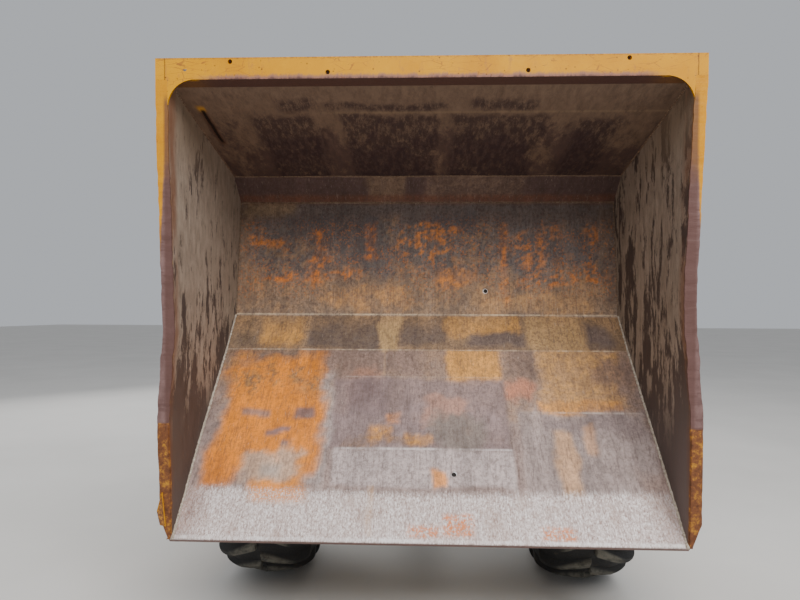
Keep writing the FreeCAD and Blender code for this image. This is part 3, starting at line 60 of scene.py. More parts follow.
class Finish:
    """A node material that is put together from sockets. A tuple stands for an sRGB colour in 0-255."""

    def __init__(self, name, metallic=0.0, specular=0.5):
        self.material = bpy.data.materials.new(name)
        self.material.use_nodes = True
        self.tree = self.material.node_tree
        self.shader = self.tree.nodes["Principled BSDF"]
        self.shader.inputs["Metallic"].default_value = metallic
        self.shader.inputs["Specular IOR Level"].default_value = specular
        self.coordinates = self.tree.nodes.new("ShaderNodeTexCoord")
        self.x, self.y, self.z = self.axes("Object")

    def link(self, source, target):
        self.tree.links.new(source, target)

    def put(self, value, target):
        if isinstance(value, bpy.types.NodeSocket):
            self.link(value, target)
        else:
            target.default_value = rgb(*value) if isinstance(value, tuple) else value

    def axes(self, kind):
        """The three parts of the places ("Object") or normals ("Normal") of a piece."""
        split = self.tree.nodes.new("ShaderNodeSeparateXYZ")
        self.link(self.coordinates.outputs[kind], split.inputs[0])
        return split.outputs

    def calc(self, operation, first, second=0.0):
        node = self.tree.nodes.new("ShaderNodeMath")
        node.operation = operation
        self.put(first, node.inputs[0])
        self.put(second, node.inputs[1])
        return node.outputs[0]

    def times(self, first, *others):
        for other in others:
            first = self.calc("MULTIPLY", first, other)
        return first

    def plus(self, first, second):
        return self.calc("ADD", first, second)

    def wander(self, value, by, reach):
        """A value that a noise moves up and down, by half of reach at most."""
        return self.plus(value, self.times(self.calc("SUBTRACT", by, 0.5), reach))

    def off_middle(self):
        """Distance from the machine's middle plane."""
        return self.calc("ABSOLUTE", self.x)

    def step(self, value, low, high, bottom=0.0, top=1.0):
        """Smooth step from bottom at low to top at high."""
        node = self.tree.nodes.new("ShaderNodeMapRange")
        node.interpolation_type = "SMOOTHSTEP"
        for slot, number in zip(node.inputs[1:5], (low, high, bottom, top)):
            slot.default_value = number
        self.put(value, node.inputs[0])
        return node.outputs[0]

    def span(self, value, low, high, soft):
        """1 between low and high, with soft ends."""
        rise = self.step(value, low - soft, low + soft)
        return self.times(rise, self.step(value, high - soft, high + soft, 1, 0))

    def texture(self, kind, scale, stretch, shift):
        mapping = self.tree.nodes.new("ShaderNodeMapping")
        mapping.inputs["Scale"].default_value = stretch
        mapping.inputs["Location"].default_value = shift
        self.link(self.coordinates.outputs["Object"], mapping.inputs[0])
        node = self.tree.nodes.new(kind)
        node.inputs["Scale"].default_value = scale
        self.link(mapping.outputs[0], node.inputs["Vector"])
        return node

    def noise(self, scale, stretch=(1, 1, 1), detail=6, rough=0.6, warp=0.0, offset=0.0):
        node = self.texture("ShaderNodeTexNoise", scale, stretch, (offset, offset * 0.7, offset * 1.3))
        node.inputs["Detail"].default_value = detail
        node.inputs["Roughness"].default_value = rough
        node.inputs["Distortion"].default_value = warp
        return node.outputs["Fac"]

    def cells(self, scale, stretch=(1, 1, 1), feature="F1", offset=0.0):
        node = self.texture("ShaderNodeTexVoronoi", scale, stretch, (offset, offset, offset))
        node.feature = feature
        return node.outputs["Distance"]

    def mix(self, share, first, second):
        node = self.tree.nodes.new("ShaderNodeMix")
        node.data_type = "RGBA"
        self.put(share, node.inputs[0])
        self.put(first, node.inputs[6])
        self.put(second, node.inputs[7])
        return node.outputs[2]

    def over(self, colour, mask, cover, tint):
        """Lays a tint over a colour where the mask is."""
        return self.mix(self.times(mask, cover), colour, tint)

    def ramp(self, value, *stops):
        node = self.tree.nodes.new("ShaderNodeValToRGB")
        points = node.color_ramp.elements
        while len(points) < len(stops):
            points.new(0.5)
        for point, (place, colour) in zip(points, stops):
            point.position = place
            point.color = rgb(*colour)
        self.put(value, node.inputs[0])
        return node.outputs[0]

    def bump(self, height, strength, distance, before=None):
        node = self.tree.nodes.new("ShaderNodeBump")
        node.inputs["Strength"].default_value = strength
        node.inputs["Distance"].default_value = distance
        self.put(height, node.inputs["Height"])
        if before is not None:
            self.link(before, node.inputs["Normal"])
        return node.outputs[0]

    def done(self, colour, roughness, normal=None):
        self.put(colour, self.shader.inputs["Base Color"])
        self.put(roughness, self.shader.inputs["Roughness"])
        if normal is not None:
            self.link(normal, self.shader.inputs["Normal"])
        return self.material


def painted(name, base, dark, dust=0.35, chips=0.5, rust=(98, 62, 45), gloss=0.45):
    """Site paint: faded colour, dust that lies on top faces, chips down to rust, scratches."""
    f = Finish(name, specular=0.28)
    colour = f.ramp(f.noise(2.2, detail=4), (0.3, dark), (0.7, base))
    fine = f.noise(38, detail=8, rough=0.75)
    colour = f.mix(f.step(fine, 0.6, 0.72, 0, 0.25), colour, dark)
    scratch = f.step(f.noise(14, (1, 1, 9), detail=5, rough=0.7, warp=0.6), 0.64, 0.7)
    scratch = f.times(scratch, f.step(f.noise(3, detail=2, offset=4), 0.45, 0.6))
    chip = f.step(f.noise(9, detail=9, rough=0.78, offset=2), 0.70 - 0.06 * chips, 0.72 - 0.06 * chips)
    worn = f.calc("MAXIMUM", f.times(scratch, 0.6), chip)
    colour = f.mix(worn, colour, rust)
    film = f.step(f.axes("Normal")[2], -0.2, 0.95, 0.25, 1)
    film = f.times(film, f.step(f.noise(5, detail=6, offset=7), 0.35, 0.7, 0.35, 1))
    colour = f.over(colour, film, dust, (158, 144, 122))
    roughness = f.step(fine, 0.3, 0.8, gloss, gloss + 0.3)
    normal = f.bump(f.noise(160, detail=3), 0.08, 0.001, f.bump(f.calc("SUBTRACT", 1, worn), 0.3, 0.0006))
    return f.done(colour, roughness, normal)


def metal(name, base, dark, roughness=0.35, metallic=0.9, rust_share=0.0, grain=(1, 1, 1)):
    f = Finish(name, metallic)
    colour = f.ramp(f.noise(12, grain, detail=8, rough=0.7), (0.3, dark), (0.7, base))
    if rust_share:
        rust = f.step(f.noise(16, detail=9, rough=0.75, offset=3), 0.62 - rust_share, 0.7 - rust_share)
        colour = f.mix(rust, colour, (112, 66, 40))
    tone = f.noise(60, grain, detail=5)
    return f.done(colour, f.step(tone, 0.2, 0.8, roughness, roughness + 0.25), f.bump(tone, 0.12, 0.0008))


def rubber(name, hub=None):
    """Tyre rubber: black in the grooves, dust grey on the lugs and brown mud in patches."""
    f = Finish(name, specular=0.35)
    colour = f.ramp(f.noise(7, detail=6), (0.3, (26, 26, 27)), (0.75, (44, 43, 42)))
    if hub:
        across = f.calc("POWER", f.calc("SUBTRACT", f.y, hub[0]), 2)
        rise = f.calc("POWER", f.calc("SUBTRACT", f.z, hub[1]), 2)
        radius = f.calc("SQRT", f.plus(across, rise))
        tread = f.step(radius, 0.552, 0.574)
        patchy = f.step(f.noise(22, detail=8, rough=0.7, offset=5), 0.32, 0.62, 0.25, 1)
        colour = f.over(colour, f.times(tread, patchy), 0.75, (122, 118, 106))
        side = f.times(f.step(radius, 0.5, 0.36), f.step(f.noise(6, detail=7, offset=9), 0.4, 0.65))
        colour = f.over(colour, side, 0.5, (104, 94, 80))
    mud = f.step(f.noise(11, detail=9, rough=0.7, offset=12), 0.6, 0.7, 0, 0.6)
    colour = f.mix(mud, colour, (96, 84, 68))
    grain = f.noise(140, detail=4)
    return f.done(colour, f.step(grain, 0.2, 0.8, 0.62, 0.85), f.bump(grain, 0.25, 0.0012))


YELLOW = (228, 176, 30)
YELLOW_DARK = (208, 154, 26)
finish = {
    "yellow_paint": painted("yellow_paint", YELLOW, YELLOW_DARK, dust=0.22, chips=0.35, gloss=0.4),
    "dark_paint": painted("dark_paint", (48, 49, 50), (34, 35, 36), dust=0.5, chips=0.4),
    "bare_steel": metal("bare_steel", (150, 145, 140), (96, 90, 86), 0.35, rust_share=0.06),
    "iron": painted("iron", (70, 70, 70), (52, 52, 53), dust=0.45, chips=0.3, gloss=0.6),
    "fins": metal("fins", (110, 110, 108), (60, 60, 60), 0.5, 0.6, grain=(60, 1, 1)),
    "rod_chrome": metal("rod_chrome", (222, 222, 222), (190, 190, 190), 0.08, 1.0),
    "tyre_rubber": rubber("tyre_rubber"),
    "black_cover": painted("black_cover", (30, 30, 31), (22, 22, 23), dust=0.3, chips=0.0, gloss=0.55),
}
slot_of = {part["node"]: part["material_slot"] for part in frame["record"]["subparts"]}

# Finishes of the skip
# Heights of the skip's folds as it stands tipped: the first bend, the second, the floor's end and the heel
FIRST, SECOND, FLOOR_END, HEEL = 1.356, 1.556, 2.259, 2.394


def with_outside(f, colour, facing):
    """Puts the skip's painted outside, with dust and rust runs, where facing is above zero."""
    paint = f.ramp(f.noise(2.0, detail=4), (0.3, YELLOW_DARK), (0.7, YELLOW))
    chips = f.step(f.noise(8, detail=9, rough=0.78, offset=6), 0.66, 0.69)
    runs = f.step(f.noise(9, (1, 1, 0.12), detail=6, offset=8), 0.6, 0.72, 0, 0.6)
    paint = f.mix(f.calc("MAXIMUM", chips, runs), paint, (112, 74, 50))
    dust = f.step(f.noise(4, detail=7, offset=2), 0.4, 0.75, 0.1, 0.5)
    paint = f.mix(dust, paint, (160, 142, 112))
    return f.mix(f.step(facing, 0.02, -0.02), paint, colour)


# Patches on the folded sheet, laid one over the other by x and height:
# (x from, x to, z from, z to, softness, raggedness, cover, brokenness, share of dark specks, colour)
SHEET_PATCHES = (
    # front sheet
    (-1.2, 1.2, 0.5, 1.36, 0.004, 0, 1, 0, 0.5, (160, 138, 130)),
    (-1.2, 1.2, 1.04, 1.4, 0.06, 0.2, 0.6, 0.3, 0.6, (176, 136, 98)),
    (-1.16, -0.5, 1.3, 1.4, 0.03, 0.06, 0.7, 0.3, 0.9, (112, 92, 76)),
    (-0.56, -0.05, 1.22, 1.4, 0.05, 0.16, 0.75, 0.2, 0.6, (136, 112, 104)),
    (-0.44, -0.28, 1.1, 1.24, 0.04, 0.1, 0.5, 0, 0.4, (182, 122, 98)),
    (0.12, 0.41, 1.2, 1.4, 0.02, 0.05, 0.9, 0, 0.5, (226, 160, 76)),
    (0.44, 0.62, 1.22, 1.4, 0.03, 0.08, 0.65, 0, 0.7, (124, 102, 92)),
    (0.63, 1.08, 1.07, 1.4, 0.03, 0.08, 0.8, 0.3, 0.5, (218, 162, 92)),
    (0.92, 1.14, 1.14, 1.32, 0.04, 0.12, 0.7, 0, 0.6, (136, 110, 100)),
    (0.42, 0.58, 1.11, 1.2, 0.03, 0.08, 0.65, 0, 0.3, (212, 130, 96)),
    (0.6, 1.04, 1.05, 1.1, 0.012, 0.03, 0.8, 0.3, 0.4, (232, 156, 66)),
    (-0.5, 0.43, 0.89, 1.21, 0.014, 0.02, 0.8, 0, 0.4, (148, 126, 124)),
    (-0.42, -0.2, 1.02, 1.18, 0.03, 0.08, 0.5, 0, 0.3, (124, 104, 106)),
    (0.02, 0.24, 1, 1.12, 0.03, 0.1, 0.5, 0, 0.3, (204, 146, 116)),
    (0.06, 0.3, 0.9, 1.02, 0.03, 0.08, 0.6, 0, 0.4, (128, 120, 108)),
    (-0.66, -0.5, 0.72, 1.24, 0.02, 0.06, 0.65, 0, 0.4, (186, 172, 166)),
    (0.49, 1.14, 0.72, 1.05, 0.014, 0.02, 0.8, 0, 0.4, (172, 154, 148)),
    (0.6, 1.12, 0.96, 1.05, 0.03, 0.06, 0.6, 0, 0.4, (136, 118, 116)),
    (0.64, 0.76, 0.7, 0.96, 0.02, 0.05, 0.7, 0, 0.4, (220, 168, 118)),
    (0.82, 0.88, 0.88, 1, 0.015, 0.04, 0.6, 0, 0.3, (214, 158, 110)),
    (-0.46, 0.44, 0.74, 0.886, 0.01, 0.02, 0.75, 0, 0.5, (204, 187, 183)),
    (-1.09, -0.55, 0.78, 1.325, 0.04, 0.08, 0.96, 0, 0.35, (238, 140, 26)),
    (-1.11, -0.94, 0.73, 0.88, 0.035, 0.06, 0.9, 0, 0.35, (234, 136, 34)),
    (-0.84, -0.6, 0.7, 0.86, 0.03, 0.06, 0.95, 0, 0.35, (240, 146, 36)),
    (-1.06, -0.56, 1.16, 1.25, 0.02, 0.08, 0.6, 0.9, 0.9, (150, 112, 70)),
    (-1.16, -0.88, 1.12, 1.34, 0.05, 0.16, 0.6, 0.8, 0.8, (150, 112, 70)),
    (-0.76, -0.56, 1.13, 1.24, 0.04, 0.14, 0.6, 0.6, 0.8, (164, 124, 82)),
    (-0.98, -0.82, 1.02, 1.055, 0.014, 0.03, 0.8, 0, 0.3, (146, 122, 116)),
    (-0.7, -0.6, 1.01, 1.065, 0.014, 0.03, 0.85, 0, 0.3, (120, 104, 108)),
    (-0.82, -0.7, 0.942, 0.966, 0.01, 0.03, 0.85, 0, 0.2, (140, 120, 124)),
    (-0.73, -0.69, 0.885, 0.91, 0.01, 0.03, 0.8, 0, 0.2, (130, 110, 112)),
    (-0.9, -0.63, 0.75, 0.87, 0.028, 0.09, 0.9, 0, 0.4, (200, 170, 146)),
    (-0.8, -0.7, 0.77, 0.82, 0.02, 0.04, 0.6, 0, 0.2, (156, 152, 148)),
    (-1.16, -1, 0.56, 0.74, 0.02, 0.06, 0.7, 0, 0.5, (156, 104, 82)),
    (-0.31, -0.17, 0.91, 0.975, 0.018, 0.06, 0.95, 0.5, 0.5, (240, 162, 60)),
    (-0.09, 0.05, 0.9, 0.95, 0.014, 0.05, 0.9, 0.5, 0.5, (236, 160, 62)),
    (-0.21, -0.12, 1, 1.04, 0.018, 0.04, 0.75, 0.4, 0.5, (230, 146, 74)),
    (0.02, 0.1, 0.745, 0.81, 0.012, 0.03, 0.9, 0, 0.3, (240, 154, 72)),
    (-0.42, 0.02, 0.895, 0.94, 0.014, 0.05, 0.5, 0.5, 0.6, (150, 112, 72)),
    (1.04, 1.16, 0.56, 0.8, 0.03, 0.05, 0.5, 0, 0.5, (150, 118, 102)),
    # band between the bends
    (-1.2, 1.2, 1.356, 1.556, 0.004, 0, 1, 0, 0.7, (150, 120, 90)),
    (-1.16, -1, 1.356, 1.55, 0.03, 0.05, 0.7, 0, 0.9, (112, 94, 76)),
    (-0.98, -0.74, 1.38, 1.53, 0.03, 0.06, 0.8, 0.2, 0.5, (220, 156, 72)),
    (-0.7, -0.27, 1.356, 1.556, 0.016, 0.05, 0.8, 0.2, 0.8, (92, 82, 78)),
    (-0.26, -0.15, 1.356, 1.556, 0.016, 0.05, 0.8, 0, 0.4, (204, 164, 108)),
    (-0.13, 0.12, 1.38, 1.556, 0.02, 0.05, 0.75, 0.2, 0.8, (96, 86, 84)),
    (0.12, 0.56, 1.45, 1.556, 0.02, 0.06, 0.85, 0.2, 0.5, (226, 160, 74)),
    (0.26, 0.58, 1.37, 1.45, 0.02, 0.05, 0.8, 0, 0.7, (104, 90, 86)),
    (0.6, 0.92, 1.356, 1.556, 0.02, 0.05, 0.75, 0, 0.6, (198, 156, 102)),
    (0.92, 1.08, 1.38, 1.5, 0.03, 0.05, 0.7, 0, 0.5, (98, 88, 90)),
    # floor panel
    (-1.2, 1.2, 1.556, 2.259, 0.004, 0, 1, 0, 0.8, (110, 104, 102)),
    (-1.2, 1.2, 1.5, 1.8, 0.08, 0.12, 0.65, 0.3, 0.6, (182, 142, 100)),
    (-1.2, 1.2, 1.62, 2.12, 0.08, 0.2, 0.6, 0.8, 0.7, (160, 122, 84)),
    (-1.2, 1.2, 2.13, 2.3, 0.04, 0.06, 0.6, 0.3, 0.7, (112, 92, 82)),
    (-0.85, -0.3, 2, 2.16, 0.05, 0.14, 0.7, 0.3, 0.5, (74, 74, 80)),
    (0.02, 0.28, 2.06, 2.2, 0.04, 0.12, 0.65, 0.3, 0.5, (80, 80, 86)),
    (-0.6, -0.1, 1.84, 2.02, 0.06, 0.16, 0.6, 0.4, 0.6, (84, 82, 86)),
    (0.5, 1, 1.86, 2.1, 0.06, 0.16, 0.6, 0.4, 0.6, (86, 84, 88)),
    (-1, -0.4, 1.77, 1.815, 0.02, 0.08, 0.9, 0.9, 0.7, (226, 128, 40)),
    (-1.1, -0.86, 1.98, 2.08, 0.03, 0.12, 0.75, 0.9, 0.7, (214, 128, 54)),
    (-0.7, -0.62, 1.74, 2.06, 0.02, 0.1, 0.8, 0.8, 0.5, (220, 128, 52)),
    (-0.37, -0.31, 1.9, 2.12, 0.014, 0.05, 0.85, 0.8, 0.6, (222, 124, 40)),
    (-0.14, 0.18, 1.82, 2.12, 0.05, 0.16, 0.8, 1, 0.7, (216, 130, 54)),
    (0.05, 0.34, 1.74, 1.84, 0.03, 0.1, 0.75, 0.6, 0.5, (226, 140, 60)),
    (0.465, 0.505, 1.6, 2.14, 0.014, 0.04, 0.75, 0.7, 0.7, (224, 130, 46)),
    (0.6, 1.12, 1.75, 1.83, 0.026, 0.12, 0.8, 1, 0.7, (220, 128, 50)),
    (0.98, 1.06, 1.8, 2.12, 0.02, 0.08, 0.7, 1, 0.7, (216, 128, 54)),
    (0.56, 0.8, 1.9, 2.1, 0.04, 0.14, 0.65, 1, 0.7, (214, 130, 60)),
    (-0.62, -0.12, 1.6, 1.72, 0.04, 0.12, 0.6, 0.4, 0.4, (212, 152, 88)),
    (0.3, 1, 1.56, 1.68, 0.04, 0.1, 0.6, 0.3, 0.4, (206, 154, 96)),
    (-1.18, -1.08, 1.62, 2.24, 0.02, 0.05, 0.7, 0, 0.5, (138, 114, 92)),
    (1.08, 1.18, 1.62, 2.24, 0.02, 0.05, 0.7, 0, 0.6, (110, 92, 80)),
    (-1.14, -0.8, 2.18, 2.27, 0.03, 0.05, 0.7, 0, 0.5, (150, 124, 94)),
    # heel
    (-1.2, 1.2, 2.259, 2.5, 0.003, 0, 1, 0, 0.7, (84, 66, 64)),
    (-0.36, -0.12, 2.262, 2.42, 0.02, 0.03, 0.8, 0, 0.7, (128, 106, 86)),
    (0, 0.6, 2.28, 2.42, 0.03, 0.03, 0.6, 0.4, 0.7, (128, 106, 88)),
    (-1.2, 1.2, 2.25, 2.3, 0.012, 0.01, 0.75, 0, 0.5, (112, 72, 54)),
)
# Worn edges, rust runs and dirt in the folds: (x from, x to, z from, z to, cover, colour)
SHEET_LINES = (
    (-0.46, 0.44, 0.882, 0.89, 0.65, (236, 224, 220)),
    (0.5, 1.14, 1.046, 1.054, 0.55, (220, 202, 190)),
    (-0.44, 0.42, 1.212, 1.217, 0.35, (196, 178, 168)),
    (0.452, 0.46, 0.7, 1.06, 0.6, (120, 84, 66)),
    (0.425, 0.445, 0.7, 0.86, 0.45, (230, 214, 208)),
    (-0.275, -0.245, 0.56, 0.74, 0.45, (214, 168, 122)),
    (-0.235, -0.222, 1.22, 1.55, 0.65, (216, 172, 120)),
    (-1.17, 1.17, 0.542, 0.553, 0.85, (240, 234, 230)),
    (-1.17, 1.17, FIRST - 0.003, FIRST + 0.003, 0.7, (226, 202, 172)),
    (-1.17, 1.17, SECOND + 0.001, SECOND + 0.008, 0.8, (232, 206, 168)),
    (-1.17, 1.17, FLOOR_END - 0.004, FLOOR_END + 0.004, 0.5, (206, 184, 152)),
    (-1.17, 1.17, HEEL - 0.006, HEEL + 0.002, 0.45, (160, 136, 110)),
)
# Rust blooms on the pale band above the lip: (x from, x to, z from, z to)
LIP_BLOOMS = ((-0.08, 0.06, 0.56, 0.6), (0.08, 0.22, 0.565, 0.64), (0.53, 0.68, 0.555, 0.6))


def floor_finish():
    """Inside of the folded sheet: its patches' colours come with the mesh, and this adds grain and lines."""
    f = Finish("worn_steel_floor", metallic=0.08, specular=0.35)
    speck = f.noise(60, detail=9, rough=0.82)
    grit = f.noise(150, detail=5, rough=0.8, offset=3)
    drag = f.noise(34, (3.0, 0.4, 0.22), detail=8, rough=0.8, offset=8)
    blotch = f.noise(5, detail=9, rough=0.75, offset=11)
    across = f.wander(f.x, blotch, 0.03)
    height = f.wander(f.z, blotch, 0.03)
    wear = f.tree.nodes.new("ShaderNodeAttribute")
    wear.attribute_name = "wear"
    colour = wear.outputs["Color"]
    dirty = wear.outputs["Alpha"]
    flakes = f.step(f.noise(24, (1.3, 0.7, 0.7), detail=9, rough=0.8, offset=23), 0.50, 0.60)
    colour = f.over(colour, f.times(flakes, dirty), 0.55, (100, 84, 78))
    colour = f.over(colour, f.times(f.step(speck, 0.49, 0.56), dirty), 0.75, (80, 62, 54))
    colour = f.over(colour, f.step(drag, 0.49, 0.62), 0.52, (90, 72, 66))
    dots = f.step(f.noise(70, detail=8, rough=0.8, offset=29), 0.53, 0.58)
    dots = f.times(dots, f.span(f.z, 1.66, 2.14, 0.08), f.step(blotch, 0.42, 0.56))
    colour = f.over(colour, dots, 0.65, (206, 120, 48))
    scratches = f.noise(48, (2.6, 0.5, 0.3), detail=8, rough=0.8, offset=17)
    colour = f.over(colour, f.step(scratches, 0.56, 0.70), 0.34, (226, 208, 192))
    colour = f.over(colour, f.step(grit, 0.62, 0.70), 0.32, (220, 200, 172))
    colour = f.over(colour, f.step(grit, 0.38, 0.30), 0.32, (70, 58, 54))
    band_edge = f.plus(f.z, f.times(f.calc("SUBTRACT", f.plus(drag, grit), 1), 0.07))
    band_edge = f.plus(band_edge, f.times(f.calc("SUBTRACT", f.off_middle(), 0.6), -0.018))
    pale = f.ramp(f.noise(95, (1.5, 0.8, 0.6), detail=9, rough=0.85, offset=4),
                  (0.38, (126, 98, 88)), (0.48, (208, 188, 180)), (0.57, (252, 246, 244)))
    pale = f.mix(f.step(drag, 0.47, 0.62, 0, 0.5), pale, (146, 116, 106))
    pale = f.mix(f.step(blotch, 0.52, 0.66, 0, 0.4), pale, (164, 130, 110))
    whole = f.step(f.off_middle(), 1.0, 1.12, 0.92, 0.45)
    colour = f.over(colour, f.step(band_edge, 0.735, 0.70), whole, pale)
    for x_low, x_high, z_low, z_high in LIP_BLOOMS:
        bloom = f.times(f.span(across, x_low, x_high, 0.02), f.span(height, z_low, z_high, 0.012))
        colour = f.over(colour, f.times(bloom, f.step(speck, 0.46, 0.54)), 0.85, (226, 128, 56))
    broken = f.step(f.noise(4, (1, 0.2, 0.2), detail=10, rough=0.88, offset=5), 0.46, 0.60, 0.2, 1)
    for x_low, x_high, z_low, z_high, cover, tint in SHEET_LINES:
        soft = 0.003 if x_high - x_low > 0.1 else 0.006
        line = f.times(f.span(across, x_low, x_high, soft), f.span(f.z, z_low, z_high, 0.003), broken)
        colour = f.over(colour, line, cover, tint)
    fan = f.times(f.span(across, -0.84, -0.58, 0.04), f.span(height, 0.675, 0.74, 0.02))
    colour = f.over(colour, f.times(fan, f.step(grit, 0.44, 0.54)), 0.8, (236, 144, 44))
    colour = with_outside(f, colour, f.axes("Normal")[1])
    relief = f.plus(f.times(speck, 0.6), f.times(grit, 0.4))
    return f.done(colour, f.step(speck, 0.3, 0.7, 0.48, 0.78), f.bump(relief, 0.35, 0.003))


# Dark smears on the rear wall: (x from, x to, y from, y to, softness)
REAR_SMEARS = (
    (-0.88, -0.56, -2.01, -1.2, 0.03), (-0.42, 0.05, -2.02, -1.2, 0.02), (0.13, 0.6, -2.01, -1.2, 0.03),
    (0.74, 0.98, -1.98, -1.2, 0.04), (-0.72, -0.52, -2.15, -2.05, 0.03), (-0.48, 0.1, -2.11, -2.06, 0.02),
    (0.22, 0.52, -2.14, -2.06, 0.03),
)


def rear_wall_finish():
    """Dusty rear wall with dark smears, and a torn gap with rusty edges in its corner, its inside painted
    shade.
    """
    f = Finish("worn_steel_rear", metallic=0.05, specular=0.3)
    smear = f.noise(5, (1.0, 0.45, 1), detail=9, rough=0.72, warp=0.5)
    fine = f.noise(30, (1, 0.3, 1), detail=9, rough=0.85, offset=3)
    dark = f.ramp(fine, (0.35, (64, 50, 48)), (0.65, (100, 80, 72)))
    tan = f.ramp(fine, (0.3, (84, 68, 58)), (0.7, (132, 110, 92)))
    amount = f.plus(smear, f.step(f.y, -1.55, -2.25, -0.06, 0.26))
    colour = f.mix(f.step(f.plus(amount, f.times(fine, 0.25)), 0.56, 0.72), dark, tan)
    line = f.times(f.span(f.y, -2.045, -2.03, 0.008), f.step(f.x, -0.6, -0.4), f.step(fine, 0.36, 0.5))
    colour = f.over(colour, line, 0.4, (146, 124, 96))
    along = f.wander(f.y, smear, 0.16)
    across = f.wander(f.wander(f.x, smear, 0.16), fine, 0.10)
    ragged = f.step(f.noise(42, (1, 0.22, 1), detail=9, rough=0.85, offset=15), 0.43, 0.53, 0.15, 1)
    for x_low, x_high, y_low, y_high, soft in REAR_SMEARS:
        stain = f.times(f.span(across, x_low, x_high, soft), f.span(along, y_low, y_high, soft), ragged)
        colour = f.over(colour, stain, 0.78, (50, 36, 40))
    beside = f.wander(f.x, fine, 0.03)
    torn = f.times(f.span(beside, -1.114, -1.076, 0.010), f.span(f.y, -2.10, -1.74, 0.02))
    edge_tone = f.mix(f.step(f.y, -2.04, -2.08), (84, 54, 38), (204, 150, 40))
    colour = f.over(colour, torn, 0.7, edge_tone)
    # Near-black inside of the torn gap: painted shade, as the wall has no opening there
    painted_shade_slit = f.times(f.span(beside, -1.103, -1.085, 0.004), f.span(f.y, -2.07, -1.76, 0.015))
    colour = f.over(colour, painted_shade_slit, 0.95, (18, 12, 11))
    colour = with_outside(f, colour, f.axes("Normal")[1])
    return f.done(colour, f.step(fine, 0.3, 0.7, 0.55, 0.85), f.bump(fine, 0.35, 0.003))


def side_finish(hand):
    """Side wall: dust that flakes off brown steel, scoured in its lower part, which is darker on the right
    wall as painted shade.
    """
    f = Finish(f"worn_steel_side_{'left' if hand > 0 else 'right'}", metallic=0.05, specular=0.3)
    flow = f.noise(6, (1, 1.3, 0.34), detail=9, rough=0.7, warp=0.4)
    fine = f.noise(30, (1, 1, 0.3), detail=8, rough=0.8, offset=2)
    flake = f.noise(19, (1, 1.2, 0.4), detail=9, rough=0.8, offset=13)
    brown = f.ramp(fine, (0.3, (60, 50, 47)), (0.7, (102, 87, 80)))
    dust = f.ramp(fine, (0.3, (120, 105, 91)), (0.7, (180, 163, 146)))
    height = f.step(f.z, 1.15, 1.85)
    cover = f.plus(flow, f.times(height, 0.09 if hand > 0 else 0.14))
    cover = f.wander(cover, flake, 0.55)
    streaks = f.step(f.plus(cover, f.times(fine, 0.2)), 0.62, 0.67)
    colour = f.mix(f.times(streaks, f.step(f.z, 0.85, 1.3)), brown, dust)
    pits = f.times(f.step(flake, 0.42, 0.37), f.step(f.z, 1.1, 1.5))
    colour = f.over(colour, pits, 0.7, (60, 50, 45))
    top = f.times(f.step(f.z, 2.15, 2.5), f.step(f.y, -1.5, -2.1))
    colour = f.over(colour, top, 0.7, f.mix(fine, (126, 106, 86), (150, 130, 108)))
    # Scoured lower part; its darker colour on the right wall is painted shade, the left wall keeping the
    # lighter one
    scour_and_shade = f.times(f.step(f.z, 1.5, 0.8), f.step(f.y, -2.0, -2.2, 0.4, 1))
    colour = f.over(colour, scour_and_shade, 0.7, (118, 104, 99) if hand > 0 else (96, 81, 73))
    rust = f.times(f.step(f.y, -2.19, -2.25), f.step(flow, 0.35, 0.6))
    colour = f.over(colour, rust, 0.7, (122, 74, 46))
    colour = with_outside(f, colour, f.times(f.axes("Normal")[0], hand))
    return f.done(colour, f.step(fine, 0.3, 0.7, 0.6, 0.85), f.bump(fine, 0.4, 0.004))


def rail_finish():
    """Yellow rail: long fine scratches across it and a rubbed purple-brown lower edge."""
    f = Finish("yellow_rail", specular=0.2)
    cloud = f.noise(3, detail=5)
    colour = f.ramp(cloud, (0.3, (196, 130, 0)), (0.55, (212, 148, 0)), (0.75, (218, 158, 10)))
    fine = f.noise(90, detail=8, rough=0.8, offset=1)
    streak = f.noise(26, (1, 1, 0.25), detail=9, rough=0.75, offset=2)
    colour = f.mix(f.step(streak, 0.56, 0.66, 0, 0.55), colour, (170, 112, 62))
    rubs = f.noise(17, (0.4, 1, 2.2), detail=8, rough=0.75, warp=1.2, offset=9)
    colour = f.mix(f.step(rubs, 0.62, 0.66, 0, 0.7), colour, (128, 74, 52))
    colour = f.mix(f.step(fine, 0.66, 0.72, 0, 0.7), colour, (86, 60, 44))
    reach = f.wander(f.z, streak, 0.05)
    centre = f.step(f.off_middle(), 1.07, 0.9)
    rub = f.times(f.step(reach, 2.634, 2.616), centre)
    colour = f.over(colour, rub, 0.85, (132, 96, 94))
    edge = f.times(f.step(reach, 2.618, 2.606), centre)
    colour = f.over(colour, edge, 0.9, (84, 60, 56))
    beside = f.wander(f.off_middle(), fine, 0.006)
    seam = f.times(f.span(beside, 1.1705, 1.1755, 0.0015), f.step(fine, 0.3, 0.5, 0.5, 1))
    colour = f.over(colour, seam, 0.75, (112, 70, 20))
    spots = f.times(f.step(f.cells(38, offset=3), 0.16, 0.10), f.step(streak, 0.46, 0.56))
    colour = f.over(colour, spots, 0.75, (96, 58, 30))
    lines = f.step(f.cells(9, (1, 1, 3.5), "DISTANCE_TO_EDGE", 7), 0.020, 0.008)
    lines = f.times(lines, f.step(f.noise(5, detail=5, offset=31), 0.46, 0.56))
    colour = f.over(colour, lines, 0.6, (138, 82, 48))
    top = f.times(f.step(f.z, 2.694, 2.702), f.step(fine, 0.4, 0.6))
    colour = f.over(colour, top, 0.6, (120, 70, 44))
    # Faces that point down are painted dark brown: painted shade on the rail's underside
    shaded_underside = f.step(f.axes("Normal")[2], -0.3, -0.8)
    colour = f.over(colour, shaded_underside, 0.9, (74, 52, 46))
    relief = f.bump(streak, 0.25, 0.0015, f.bump(fine, 0.12, 0.001))
    return f.done(colour, f.step(fine, 0.3, 0.7, 0.38, 0.6), relief)


